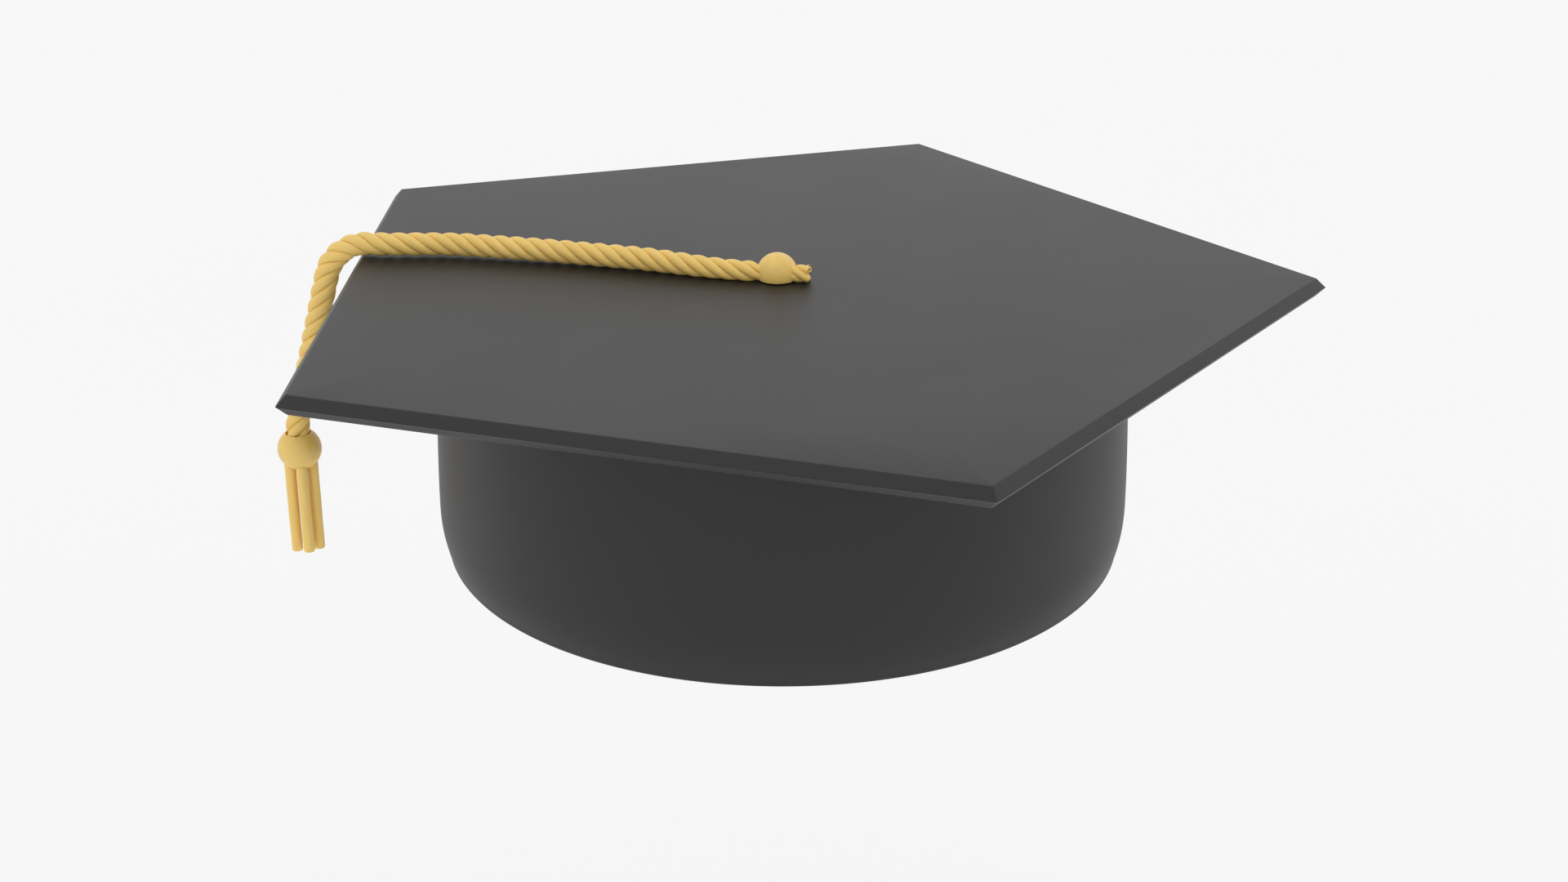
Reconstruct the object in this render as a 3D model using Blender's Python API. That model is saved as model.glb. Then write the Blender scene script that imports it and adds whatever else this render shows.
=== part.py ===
"""Graduation cap: a five-sided stiff board on a round head-band crown, with a
four-ply twisted cord that is clamped by a bead at the middle of the board,
runs over the edge and ends in a small bead with four hanging strands.

Frame: +Z up.  The origin is the centre of the crown's inside ceiling
(underside of the tip lining), on the crown's axis.  +X is the wearer's left,
-Y the front (one corner of the board points forward) and +Y the back.

Dimensions are in mm and angles in degrees; objects are built in metres.
Heights named *_Z, and the heights in profiles, are measured from the board's
top face.  height() and lifted() turn them into heights in the cap's frame.
"""
import math
from collections import namedtuple

import bmesh
import bpy
from mathutils import Matrix, Vector

for old in list(bpy.data.objects):
    bpy.data.objects.remove(old, do_unlink=True)

MM = 0.001                   # metres in a millimetre
GAP = 0.3                    # clearance between neighbouring pieces
BOARD_TOP_Z = 10.0           # board's top face over the inside ceiling (cap's frame)
FRONT, BACK = 270.0, 90.0    # directions about Z

# ---------------------------------------------------------------- materials
# sRGB colour 0-255, roughness, metallic
FINISHES = {
    "board_fabric": ((84, 84, 86), 0.85, 0.0),
    "board_fabric_under": ((74, 74, 76), 0.85, 0.0),
    "crown_fabric": ((66, 66, 68), 0.88, 0.0),
    "gusset_fabric": ((62, 62, 64), 0.9, 0.0),
    "grey_board": ((150, 144, 134), 0.9, 0.0),
    "buckram": ((196, 190, 176), 0.9, 0.0),
    "lining": ((40, 40, 44), 0.45, 0.0),
    "sweatband": ((52, 48, 46), 0.55, 0.0),
    "elastic": ((30, 30, 32), 0.8, 0.0),
    "label": ((216, 212, 202), 0.7, 0.0),
    "gold_cord": ((222, 186, 106), 0.62, 0.0),
    "gold_bead": ((220, 186, 108), 0.5, 0.0),
    "brass": ((196, 160, 84), 0.3, 1.0),
    "steel": ((176, 178, 180), 0.35, 1.0),
}


def linear(channel):
    """Linear value of an sRGB channel given as 0-255."""
    value = channel / 255.0
    return value / 12.92 if value <= 0.04045 else ((value + 0.055) / 1.055) ** 2.4


def new_material(name, finish):
    srgb, roughness, metallic = FINISHES[finish]
    colour = (*map(linear, srgb), 1.0)
    material = bpy.data.materials.new(name)
    material.use_nodes = True
    shader = material.node_tree.nodes["Principled BSDF"]
    shader.inputs["Base Color"].default_value = colour
    shader.inputs["Roughness"].default_value = roughness
    shader.inputs["Metallic"].default_value = metallic
    material.diffuse_color = colour
    return material


# ---------------------------------------------------------------- objects
Joint = namedtuple("Joint", "empty at")      # at: its place in the cap's frame, mm
WORLD = Joint(None, (0.0, 0.0, 0.0))


def add_joint(name, at, parent=WORLD):
    """Empty at a joint's axis."""
    empty = bpy.data.objects.new(name, None)
    empty.empty_display_size = 0.01
    bpy.context.scene.collection.objects.link(empty)
    empty.parent = parent.empty
    empty.location = [(own - base) * MM for own, base in zip(at, parent.at)]
    return Joint(empty, at)


def add_piece(name, bm, finish, joint=WORLD, smooth=40.0):
    """Turn a bmesh in mm (cap's frame) into an object in metres."""
    bmesh.ops.recalc_face_normals(bm, faces=bm.faces)
    shift = Matrix.Translation(-Vector(joint.at))
    bmesh.ops.transform(bm, matrix=Matrix.Scale(MM, 4) @ shift, verts=bm.verts)
    mesh = bpy.data.meshes.new(name)
    bm.to_mesh(mesh)
    bm.free()
    if smooth:
        mesh.shade_smooth()
        mesh.set_sharp_from_angle(angle=math.radians(smooth))
    obj = bpy.data.objects.new(name, mesh)
    bpy.context.scene.collection.objects.link(obj)
    obj.parent = joint.empty
    if finish:
        mesh.materials.append(new_material(name + "_finish", finish))
    return obj


def cut(obj, name, bm):
    """Cut a bmesh out of an object, through a hidden helper."""
    tool = add_piece(name, bm, None, smooth=0.0)
    tool.hide_render = True
    tool.display_type = "WIRE"
    modifier = obj.modifiers.new("cut_" + name, "BOOLEAN")
    modifier.operation = "DIFFERENCE"
    modifier.solver = "EXACT"
    modifier.object = tool


# ---------------------------------------------------------------- shapes
def height(z):
    """Height in the cap's frame of a height measured from the board's top."""
    return BOARD_TOP_Z + z


def lifted(profile):
    """(r, z) points measured from the board's top, moved to the cap's frame."""
    return [(r, height(z)) for r, z in profile]


def polar(azimuth, radius, z):
    angle = math.radians(azimuth)
    return Vector((radius * math.cos(angle), radius * math.sin(angle), z))


def rectangle(r_inner, r_outer, z_from, z_to):
    """Profile of a flat ring, or of a disc when r_inner is 0."""
    return [(r_inner, z_from), (r_outer, z_from), (r_outer, z_to), (r_inner, z_to)]


def arc_points(radius, centre_z, start, end, steps):
    """Profile points of a sphere on the axis; the one at the end angle (radians) is left out."""
    angles = [start + (end - start) * i / steps for i in range(steps)]
    return [(radius * math.cos(a), centre_z + radius * math.sin(a)) for a in angles]


def lathe(profile, segments, start=0.0, sweep=360.0):
    """Spin a closed (r, z) profile about Z.  A point with r = 0 is on the axis."""
    bm = bmesh.new()
    closed = sweep == 360.0
    turn = Matrix.Rotation(math.radians(start), 4, "Z")
    ring = [bm.verts.new(turn @ Vector((r, 0.0, z))) for r, z in profile]
    edges = []
    for i in range(len(ring)):
        j = (i + 1) % len(ring)
        if profile[i][0] < 1e-9 and profile[j][0] < 1e-9:
            continue                      # along the axis: no surface
        edges.append(bm.edges.new((ring[i], ring[j])))
    spun = bmesh.ops.spin(bm, geom=ring + edges, cent=(0, 0, 0), axis=(0, 0, 1),
                          angle=math.radians(sweep), steps=segments,
                          use_merge=closed, use_duplicate=False)
    if not closed:
        last = [item for item in spun["geom_last"] if isinstance(item, bmesh.types.BMVert)]
        bm.faces.new(ring)
        # put the last ring's vertices in the profile's order to close that end
        end_turn = Matrix.Rotation(math.radians(start + sweep), 4, "Z")
        places = [end_turn @ Vector((r, 0.0, z)) for r, z in profile]
        bm.faces.new([min(last, key=lambda vert, place=place: (vert.co - place).length)
                      for place in places])
    bmesh.ops.remove_doubles(bm, verts=bm.verts, dist=1e-4)
    return bm


def loft(loops):
    """Skin over a row of point loops, closed by a face at both ends."""
    bm = bmesh.new()
    rings = [[bm.verts.new(point) for point in loop] for loop in loops]
    count = len(rings[0])
    for near, far in zip(rings, rings[1:]):
        for i in range(count):
            j = (i + 1) % count
            bm.faces.new((near[i], near[j], far[j], far[i]))
    bm.faces.new(rings[0])
    bm.faces.new(rings[-1])
    return bm


def cylinder(radius, z_from, z_to, segments, x=0.0, y=0.0):
    bm = bmesh.new()
    bmesh.ops.create_cone(bm, cap_ends=True, segments=segments, radius1=radius,
                          radius2=radius, depth=z_to - z_from,
                          matrix=Matrix.Translation((x, y, (z_from + z_to) / 2)))
    return bm


def moved(bm, offset):
    bmesh.ops.transform(bm, matrix=Matrix.Translation(offset), verts=bm.verts)
    return bm


def smoothstep(t):
    t = min(1.0, max(0.0, t))
    return t * t * (3.0 - 2.0 * t)


def ramp(value, start, end):
    """Smooth rise from 0 at start to 1 at end."""
    return smoothstep((value - start) / (end - start))


# ---------------------------------------------------------------- board
BOARD_SIDES = 5
BOARD_THICK = 5.25
FACE_R = 148.0               # corner radius of the flat top and bottom faces
RIM_R = 150.8                # corner radius at the rim, between the two bevels
RIM_Z = -BOARD_THICK / 2
COVER_T = 0.8                # fabric cover, flat part
FOLD_T = 1.15                # folded edge of the cover, in corner radius
COVER_INNER_R = FACE_R - 0.75            # inside corner where flat part meets fold
CORE_FACE_R = FACE_R - 1.25
CORE_RIM_R = RIM_R - FOLD_T - 0.75
CORE_TOP_Z = -COVER_T - GAP
CORE_BOTTOM_Z = -BOARD_THICK + COVER_T + GAP

STEM_R = 2.0
STEM_HEAD_R = 3.4
EYELET_BORE_R = STEM_R + GAP
EYELET_TUBE_R = 3.0
EYELET_HEAD_R = 5.6
EYELET_HEAD_LOW_Z = -1.5
EYELET_FOOT_R = 4.9
EYELET_FOOT_Z, EYELET_END_Z = -5.45, -6.0
TUBE_HOLE_R = EYELET_TUBE_R + GAP
HEAD_HOLE_R = EYELET_HEAD_R + GAP


def board_layer(name, rings, finish):
    """Stack of polygons given as (corner radius, z), one corner straight ahead."""
    corners = [FRONT + 360.0 * i / BOARD_SIDES for i in range(BOARD_SIDES)]
    bm = loft([[polar(corner, radius, z) for corner in corners]
               for radius, z in lifted(rings)])
    return add_piece(name, bm, finish, smooth=0.0)


def build_top_cover():
    """Flat fabric that folds down over the edge as the upper bevel."""
    cover = board_layer("board_top_cover", [
        (COVER_INNER_R, -COVER_T), (RIM_R - FOLD_T, RIM_Z + GAP / 2),
        (RIM_R, RIM_Z + GAP / 2), (FACE_R, 0.0)], "board_fabric")
    cut(cover, "cut_top_hole", cylinder(STEM_HEAD_R + GAP, height(-4), height(2), 40))


def build_bottom_cover():
    """The same, upside down, as the lower bevel."""
    cover = board_layer("board_bottom_cover", [
        (FACE_R, -BOARD_THICK), (RIM_R, RIM_Z - GAP / 2),
        (RIM_R - FOLD_T, RIM_Z - GAP / 2), (COVER_INNER_R, -BOARD_THICK + COVER_T),
    ], "board_fabric_under")
    cut(cover, "cut_bottom_hole", cylinder(TUBE_HOLE_R, height(-8), height(-3), 32))


def build_core():
    """Stiff core between the covers, with a stepped hole for the eyelet."""
    core = board_layer("board_core", [
        (CORE_FACE_R, CORE_BOTTOM_Z), (CORE_RIM_R, RIM_Z), (CORE_FACE_R, CORE_TOP_Z),
    ], "grey_board")
    step_z = EYELET_HEAD_LOW_Z - GAP
    cut(core, "cut_core_hole", lathe(lifted([
        (0.0, 2), (HEAD_HOLE_R, 2), (HEAD_HOLE_R, step_z),
        (TUBE_HOLE_R, step_z), (TUBE_HOLE_R, -8), (0.0, -8)]), 32))


def build_eyelet():
    """Eyelet that lines the hole through the board."""
    add_piece("center_eyelet", lathe(lifted([
        (EYELET_BORE_R, CORE_TOP_Z), (EYELET_HEAD_R, CORE_TOP_Z),
        (EYELET_HEAD_R, EYELET_HEAD_LOW_Z), (EYELET_TUBE_R, EYELET_HEAD_LOW_Z),
        (EYELET_TUBE_R, EYELET_FOOT_Z), (EYELET_FOOT_R, EYELET_FOOT_Z),
        (EYELET_FOOT_R, EYELET_END_Z), (EYELET_BORE_R, EYELET_END_Z)]), 24), "brass")


# ---------------------------------------------------------------- crown
CROWN_TOP_R = 94.9
CROWN_HEIGHT = 70.25         # from the underside of the board to the hem
FLARE, FLARE_POWER = 2.75, 1.7           # widening downwards
ROLL, ROLL_POWER = 2.25, 2.2             # narrowing at the hem
ROLL_FROM = 0.80                         # share of the height where the roll begins
ROUND_SEGMENTS = 48                      # pieces that go all round
OPEN_SEGMENTS = 40                       # pieces that stop at the back panel

GUSSET_HALF = 30.0           # half angle of the back panel
SEAM_HALF = math.degrees(GAP / 2 / 96.0)  # half the seam gap, at radius 96
RIPPLES, RIPPLE_DEPTH = 8, 0.25
GUSSET_STEPS = 32
GUSSET_SET_BACK = 0.12       # panel's outer face inside the shell's

# thicknesses, and insets from the crown's outer surface
SHELL_T = 0.9
STIFFENER_T = HEM_T = 0.8
LINING_T = 0.6
SWEATBAND_T = 1.0
LABEL_T = 0.5
ELASTIC_INSET, ELASTIC_T = 1.25, 0.7
STIFFENER_INSET = SHELL_T + GAP
LINING_INSET = HEM_INSET = STIFFENER_INSET + STIFFENER_T + GAP
SWEATBAND_INSET = HEM_INSET + HEM_T + GAP
LABEL_INSET = LINING_INSET + LINING_T + GAP
HEM_BOTTOM_INSET = 3.0

TIP_Z = -BOARD_THICK - GAP
TIP_T = 0.6
TIP_INNER_R, TIP_OUTER_R = 5.3, 94.4
TIP_LINING_R, TIP_LINING_T = 91.4, 0.5
SHELL_TOP_Z = TIP_Z - TIP_T - GAP
SHELL_MOUTH_R = 86.0         # inner edge of the shell's top flange
WALL_FOOT_Z = -61.0          # straight part of the wall ends
LAYER_TOP_Z = -7.75          # stiffener and lining start
LAYER_FOOT_Z = -73.6         # stiffener and elastic end
HEM_BEND_Z = -74.9
HEM_Z = -BOARD_THICK - CROWN_HEIGHT
FOLD_Z, FOLD_RADIUS_Z = -74.5, -74.6     # inside of the hem fold; where its radius is taken

ROLL_LEVELS = [-66.0, -70.0, -73.2]
WALL_LEVELS = [SHELL_TOP_Z, (SHELL_TOP_Z + WALL_FOOT_Z) / 2, WALL_FOOT_Z] + ROLL_LEVELS


def crown_radius(z):
    """Outer radius of the crown wall at a height from the board's top."""
    down = (z + BOARD_THICK) / (-CROWN_HEIGHT)           # 0 under the board, 1 at the hem
    flare = FLARE * (1.0 - (1.0 - min(1.0, down / ROLL_FROM)) ** FLARE_POWER)
    roll = ROLL * max(0.0, (down - ROLL_FROM) / (1.0 - ROLL_FROM)) ** ROLL_POWER
    return CROWN_TOP_R + flare - roll


def wall_line(inset, levels):
    return [(crown_radius(z) - inset, z) for z in levels]


def wall_layer(inset, thickness, levels):
    """Profile of a layer that follows the wall."""
    return lifted(wall_line(inset, levels) + wall_line(inset + thickness, levels[::-1]))


def wall_inside(bend_inset, foot_inset, hem_top_z, inner_levels):
    """Hem, its turned-up edge, inner face and top flange of a wall panel."""
    flange_low_z = SHELL_TOP_Z - SHELL_T
    turn_up = [hem_top_z] + [z for z in ROLL_LEVELS if z < hem_top_z and z != -66.0]
    if hem_top_z > ROLL_LEVELS[0]:
        turn_up = [hem_top_z] + inner_hem_levels(hem_top_z)
    return lifted(
        wall_line(bend_inset, [HEM_BEND_Z]) + wall_line(foot_inset, [HEM_Z])
        + wall_line(HEM_BOTTOM_INSET, [HEM_Z])
        + wall_line(HEM_INSET + HEM_T, turn_up[::-1]) + wall_line(HEM_INSET, turn_up)
        + [(crown_radius(FOLD_RADIUS_Z) - HEM_INSET, FOLD_Z),
           (crown_radius(FOLD_RADIUS_Z) - SHELL_T, FOLD_Z)]
        + wall_line(SHELL_T, inner_levels[::-1])
        + wall_line(SHELL_T, [flange_low_z])
        + [(SHELL_MOUTH_R, flange_low_z), (SHELL_MOUTH_R, SHELL_TOP_Z)])


def inner_hem_levels(hem_top_z):
    """Roll levels that the turned-up hem passes; the shell's hem skips the first."""
    return ROLL_LEVELS if hem_top_z == GUSSET_HEM_TOP_Z else ROLL_LEVELS[1:]


SHELL_HEM_TOP_Z, GUSSET_HEM_TOP_Z = -65.5, -60.7


def open_at_back(profile, half_gap):
    """Lathe all round except half_gap degrees to each side of the back."""
    return lathe(profile, OPEN_SEGMENTS, BACK + half_gap, 360.0 - 2 * half_gap)


def at_back(profile, half, segments):
    """Lathe only half degrees to each side of the back."""
    return lathe(profile, segments, BACK - half, 2 * half)


def build_crown_shell():
    profile = lifted(wall_line(0.0, WALL_LEVELS)) + wall_inside(
        bend_inset=0.15, foot_inset=0.25, hem_top_z=SHELL_HEM_TOP_Z,
        inner_levels=WALL_LEVELS[1:])
    add_piece("crown_shell", open_at_back(profile, GUSSET_HALF + SEAM_HALF), "crown_fabric")


def build_gusset():
    """Back panel whose outer side carries vertical gathers."""
    outside = lifted(wall_line(GUSSET_SET_BACK, WALL_LEVELS))
    inside = wall_inside(
        bend_inset=0.3, foot_inset=0.4, hem_top_z=GUSSET_HEM_TOP_Z,
        inner_levels=WALL_LEVELS[2:])
    half = GUSSET_HALF - SEAM_HALF
    loops = []
    for i in range(GUSSET_STEPS + 1):
        t = i / GUSSET_STEPS
        azimuth = BACK - half + 2 * half * t
        fade = 1.0 - (2 * t - 1.0) ** 8              # the gathers die out at the seams
        fold = RIPPLE_DEPTH * math.cos(2 * math.pi * RIPPLES * t) * fade
        loops.append([polar(azimuth, r + fold, z) for r, z in outside]
                     + [polar(azimuth, r, z) for r, z in inside])
    add_piece("back_gusset", loft(loops), "gusset_fabric")


def build_elastic():
    """Woven elastic in the casing at the foot of the back panel."""
    band = wall_layer(ELASTIC_INSET, ELASTIC_T, [-61.5, -66.0, -70.0, LAYER_FOOT_Z])
    add_piece("elastic_band", at_back(band, GUSSET_HALF - 1.5, 12), "elastic")


def build_stiffener():
    """Buckram that keeps the wall upright, all round except at the back panel."""
    buckram = wall_layer(STIFFENER_INSET, STIFFENER_T,
                         [LAYER_TOP_Z, -38.0, WALL_FOOT_Z, -66.0, -70.0, LAYER_FOOT_Z])
    add_piece("crown_stiffener", open_at_back(buckram, GUSSET_HALF + 0.5), "buckram")


def build_wall_lining():
    """Lining of the wall; stops above the turned-up hem."""
    profile = wall_layer(LINING_INSET, LINING_T, [LAYER_TOP_Z, -34.0, -60.2])
    add_piece("crown_lining", lathe(profile, ROUND_SEGMENTS), "lining")


def build_sweatband():
    """Sweatband inside the hem."""
    profile = wall_layer(SWEATBAND_INSET, SWEATBAND_T, [-42.0, WALL_FOOT_Z, -66.0, -70.0])
    add_piece("sweatband", lathe(profile, ROUND_SEGMENTS), "sweatband")


def build_ceiling():
    """Fabric disc under the board, and the lining below it."""
    tip = lifted(rectangle(TIP_INNER_R, TIP_OUTER_R, TIP_Z, TIP_Z - TIP_T))
    add_piece("crown_tip", lathe(tip, ROUND_SEGMENTS), "crown_fabric")
    # the lining's underside is the origin's plane
    lining = rectangle(0.0, TIP_LINING_R, 0.0, TIP_LINING_T)
    add_piece("tip_lining", lathe(lining, ROUND_SEGMENTS), "lining")


def build_label():
    """Blank sewn label inside the back."""
    profile = wall_layer(LABEL_INSET, LABEL_T, [-14.0, -34.0])
    add_piece("size_label", at_back(profile, 12.0, 8), "label")


# ---------------------------------------------------------------- cord path
# Places along the cord are lengths from the middle of the board.
AZ_RUN = 222.3               # direction of the cord over the board
AZ_DROP = 224.5              # direction where it leaves the edge
DRIFT = (90.0, 120.0)        # stretch where it changes between them
TAIL = 7.6                   # cut ends, from the middle of the board
BEND_START = 119.55
BEND_R = 14.0
LEAN = math.radians(15.7)    # outward lean of the hanging part
DROP_LENGTH = 45.6
TURN_DOWN_R = 22.0           # the last bit curves to plumb
BEND_ANGLE = math.pi / 2 - LEAN
BEND_END = BEND_START + BEND_R * BEND_ANGLE
DROP_END = BEND_END + DROP_LENGTH
CORD_END = DROP_END + TURN_DOWN_R * LEAN

# height of the cord's axis over the board
CORD_Z_BEAD = 2.55
CORD_Z_MOUTH = 2.7
CORD_Z_RUN = 3.5
CORD_Z_EDGE = 3.7
EDGE_RISE = (45.0, 95.0)     # stretch where it rises from RUN to EDGE

OPENS = (6.0, 9.0)           # stretch where the cord leaves the middle bead
TAIL_OPENS = (3.5, 7.0)      # the same towards the cut ends
TAIL_OPENING = 0.75          # how far it opens there
RELAXES = (9.0, 43.0)        # stretch where it reaches its full size

# sideways bulges of the soft cord: offset, place along the cord, spread
BULGES = ((3.0, 13.0, 25.0), (-0.35, 68.0, 14.0))

# ends of the bend and of the straight drop: radius, height from board top
BEND_END_R = BEND_START + BEND_R * math.sin(BEND_ANGLE)
BEND_END_Z = CORD_Z_EDGE - BEND_R * (1.0 - math.cos(BEND_ANGLE))
DROP_END_R = BEND_END_R + DROP_LENGTH * math.sin(LEAN)
DROP_END_Z = BEND_END_Z - DROP_LENGTH * math.cos(LEAN)


def opened(along):
    """0 inside the middle bead, 1 just outside it."""
    if along >= 0.0:
        return ramp(along, *OPENS)
    return TAIL_OPENING * ramp(-along, *TAIL_OPENS)


def relaxed(along):
    """0 at the middle bead, 1 where the cord has its full size."""
    return ramp(along, *RELAXES)


def sideways(along):
    """Offset of the cord across its direction."""
    return sum(offset * math.exp(-((along - centre) / spread) ** 2)
               for offset, centre, spread in BULGES)


def run_height(along):
    return (CORD_Z_BEAD + (CORD_Z_MOUTH - CORD_Z_BEAD) * opened(along)
            + (CORD_Z_RUN - CORD_Z_MOUTH) * relaxed(along)
            + (CORD_Z_EDGE - CORD_Z_RUN) * ramp(along, *EDGE_RISE))


def cord_axis(along):
    """Point on the cord's axis: run, bend, straight drop, turn to plumb."""
    if along <= BEND_START:
        azimuth = AZ_RUN + (AZ_DROP - AZ_RUN) * ramp(along, *DRIFT)
        return (polar(azimuth, along, height(run_height(along)))
                + polar(AZ_RUN + 90.0, sideways(along), 0.0))
    if along <= BEND_END:
        angle = (along - BEND_START) / BEND_R
        radius = BEND_START + BEND_R * math.sin(angle)
        z = CORD_Z_EDGE - BEND_R * (1.0 - math.cos(angle))
    elif along <= DROP_END:
        down = along - BEND_END
        radius = BEND_END_R + down * math.sin(LEAN)
        z = BEND_END_Z - down * math.cos(LEAN)
    else:
        lean = LEAN - (along - DROP_END) / TURN_DOWN_R
        radius = DROP_END_R + TURN_DOWN_R * (math.cos(lean) - math.cos(LEAN))
        z = DROP_END_Z - TURN_DOWN_R * (math.sin(LEAN) - math.sin(lean))
    return polar(AZ_DROP, radius, height(z))


# ---------------------------------------------------------------- middle bead and stem
BEAD_R = 5.65
BEAD_CENTRE_Z = 1.9
BEAD_FOOT_Z = 0.3            # flat underside of the bead
BEAD_ALONG, BEAD_SIDE = 1.4, 1.0         # it sits a little off the stem
CHANNEL_R = 2.75
CHANNEL_HALF_LENGTH = 12.0
CHANNEL_ARC_STEPS = 14
CHANNEL_SPAN = (-3.5, 6.0)   # places on the cord that set the channel's direction

STEM_HEAD_LOW_Z = -0.75
GROOVE_R = 1.5
GROOVE_TOP_Z, GROOVE_LOW_Z = -7.1, -8.5
STEM_END_Z = -9.0
WASHER_R, WASHER_TOP_Z, WASHER_LOW_Z = 5.2, -6.4, -6.9
LOCK_RING_R = 4.2


def cord_channel():
    """Tunnel with a round roof and a flat floor, along the cord."""
    start, end = CHANNEL_SPAN
    skew = math.atan2(sideways(end) - sideways(start), end - start)
    turn = Matrix.Rotation(math.radians(AZ_RUN) + skew, 4, "Z")
    floor_z, centre_z = height(BEAD_FOOT_Z - 1.0), height(CORD_Z_BEAD)
    angles = [math.pi * i / CHANNEL_ARC_STEPS for i in range(CHANNEL_ARC_STEPS + 1)]
    outline = [(CHANNEL_R, floor_z)]
    outline += [(CHANNEL_R * math.cos(a), centre_z + CHANNEL_R * math.sin(a)) for a in angles]
    outline += [(-CHANNEL_R, floor_z)]
    bm = bmesh.new()
    face = bm.faces.new([
        bm.verts.new(turn @ Vector((-CHANNEL_HALF_LENGTH, y + sideways(0.0), z)))
        for y, z in outline])
    extruded = bmesh.ops.extrude_face_region(bm, geom=[face])
    far = [item for item in extruded["geom"] if isinstance(item, bmesh.types.BMVert)]
    bmesh.ops.translate(bm, verts=far, vec=turn @ Vector((2 * CHANNEL_HALF_LENGTH, 0.0, 0.0)))
    return bm


def build_knot_bead(joint):
    """Dome with a flat foot and an arched channel for the cord."""
    low = math.asin((BEAD_FOOT_Z - BEAD_CENTRE_Z) / BEAD_R)
    dome = [(0.0, BEAD_FOOT_Z), *arc_points(BEAD_R, BEAD_CENTRE_Z, low, math.pi / 2, 7),
            (0.0, BEAD_CENTRE_Z + BEAD_R)]
    offset = polar(AZ_RUN, BEAD_ALONG, 0.0) + polar(AZ_RUN + 90.0, BEAD_SIDE, 0.0)
    bm = moved(lathe(lifted(dome[::-1]), 28), offset)
    bead = add_piece("knot_bead", bm, "gold_bead", joint)
    cut(bead, "cut_channel", cord_channel())


def build_stem(joint):
    """Flush head under the bead, shank down through the eyelet, washer and lock ring."""
    pieces = (
        ("button_stem", "brass", [
            (0.0, 0.0), (STEM_HEAD_R, 0.0), (STEM_HEAD_R, STEM_HEAD_LOW_Z),
            (STEM_R, STEM_HEAD_LOW_Z), (STEM_R, GROOVE_TOP_Z), (GROOVE_R, GROOVE_TOP_Z),
            (GROOVE_R, GROOVE_LOW_Z), (STEM_R, GROOVE_LOW_Z), (STEM_R, STEM_END_Z),
            (0.0, STEM_END_Z)]),
        ("stem_washer", "steel",
         rectangle(EYELET_BORE_R, WASHER_R, WASHER_TOP_Z, WASHER_LOW_Z)),
        ("stem_lock_ring", "steel",
         rectangle(GROOVE_R + GAP, LOCK_RING_R, GROOVE_TOP_Z - GAP, GROOVE_LOW_Z + GAP)),
    )
    for name, finish, profile in pieces:
        add_piece(name, lathe(lifted(profile), 24), finish, joint)


# ---------------------------------------------------------------- cord plies
PLIES = 4
PITCH = 19.5                 # length of one full turn of the cord
PHASE = 37.2                 # angle of ply 1 at the middle of the bead
TAIL_TWIST = 30.0            # extra lay of the cut ends
PLY_SIDES = 6
PLY_STEP = PITCH / 8         # longest distance between a ply's rings
FRAME_STEP = PLY_STEP / 8
TANGENT_REACH = 0.05         # reach to each side when taking a tangent

# ply axis to cord axis, and the ply's own radius
HELIX_R_BEAD, PLY_R_BEAD = 1.45, 0.95    # squeezed inside the middle bead
HELIX_R_MOUTH, PLY_R_MOUTH = 1.86, 1.14  # where it enters the middle bead
HELIX_R, PLY_R = 2.07, 1.27              # on the board
PLY_R_BEND = 1.2
BEND_EASE = 8.0              # length over which the bend's ply radius comes and goes
SWELL = 0.069                # the hanging part is laid up looser and thicker
SWELLS = (116.0, 138.0)
TAIL_THINNING = 0.12
TAIL_PARTS = 2.5             # distance from the middle where the cut ends start to part
TAIL_HOLLOW, TAIL_WALL = 1.2, 0.4        # depth and wall of the open cut ends
CORD_LIES_AT = 0.3           # the underside is pressed flat this far above the board
PRESSED_UNTIL = 100.0


def tangent_of(curve, along):
    return (curve(along + TANGENT_REACH) - curve(along - TANGENT_REACH)).normalized()


def square_to(tangent, direction):
    """Unit vector nearest to direction that is square to tangent."""
    return (direction - tangent * direction.dot(tangent)).normalized()


def carried_normals():
    """Normals every FRAME_STEP, carried along the cord without twisting."""
    normals = []
    normal = Vector((0.0, 0.0, 1.0))
    along = -TAIL
    while along < CORD_END + 2.0:
        normal = square_to(tangent_of(cord_axis, along), normal)
        normals.append(normal)
        along += FRAME_STEP
    return normals


NORMALS = carried_normals()


def unlaid(along):
    """0 under the middle bead, 1 at the cut ends, which stand apart."""
    return ramp(-along, TAIL_PARTS, TAIL)


def ply_sizes(along):
    """Distance of a ply's axis from the cord's axis, and the ply's own radius."""
    girth = 1.0 + SWELL * ramp(along, *SWELLS)
    bend = (ramp(along, BEND_START - BEND_EASE, BEND_START)
            * (1.0 - ramp(along, BEND_END, BEND_END + BEND_EASE)))
    opening, ease = opened(along), relaxed(along)
    helix_r = (HELIX_R_BEAD + (HELIX_R_MOUTH - HELIX_R_BEAD) * opening
               + (HELIX_R - HELIX_R_MOUTH) * ease) * girth
    ply_r = (PLY_R_BEAD + (PLY_R_MOUTH - PLY_R_BEAD) * opening
             + (PLY_R - PLY_R_MOUTH) * ease) * girth
    ply_r += (PLY_R_BEND - ply_r) * bend
    return helix_r, ply_r * (1.0 - TAIL_THINNING * unlaid(along))


def ply_place(along, index):
    """Point on a ply's axis, and the direction to it from the cord's axis."""
    nearest = min(len(NORMALS) - 1, max(0, int(round((along + TAIL) / FRAME_STEP))))
    tangent = tangent_of(cord_axis, along)
    normal = square_to(tangent, NORMALS[nearest])
    lay = PHASE + 360.0 / PLIES * index - TAIL_TWIST * unlaid(along)
    angle = math.radians(lay) + 2 * math.pi * along / PITCH
    radial = normal * math.cos(angle) + tangent.cross(normal) * math.sin(angle)
    return cord_axis(along) + radial * ply_sizes(along)[0], radial


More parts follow.
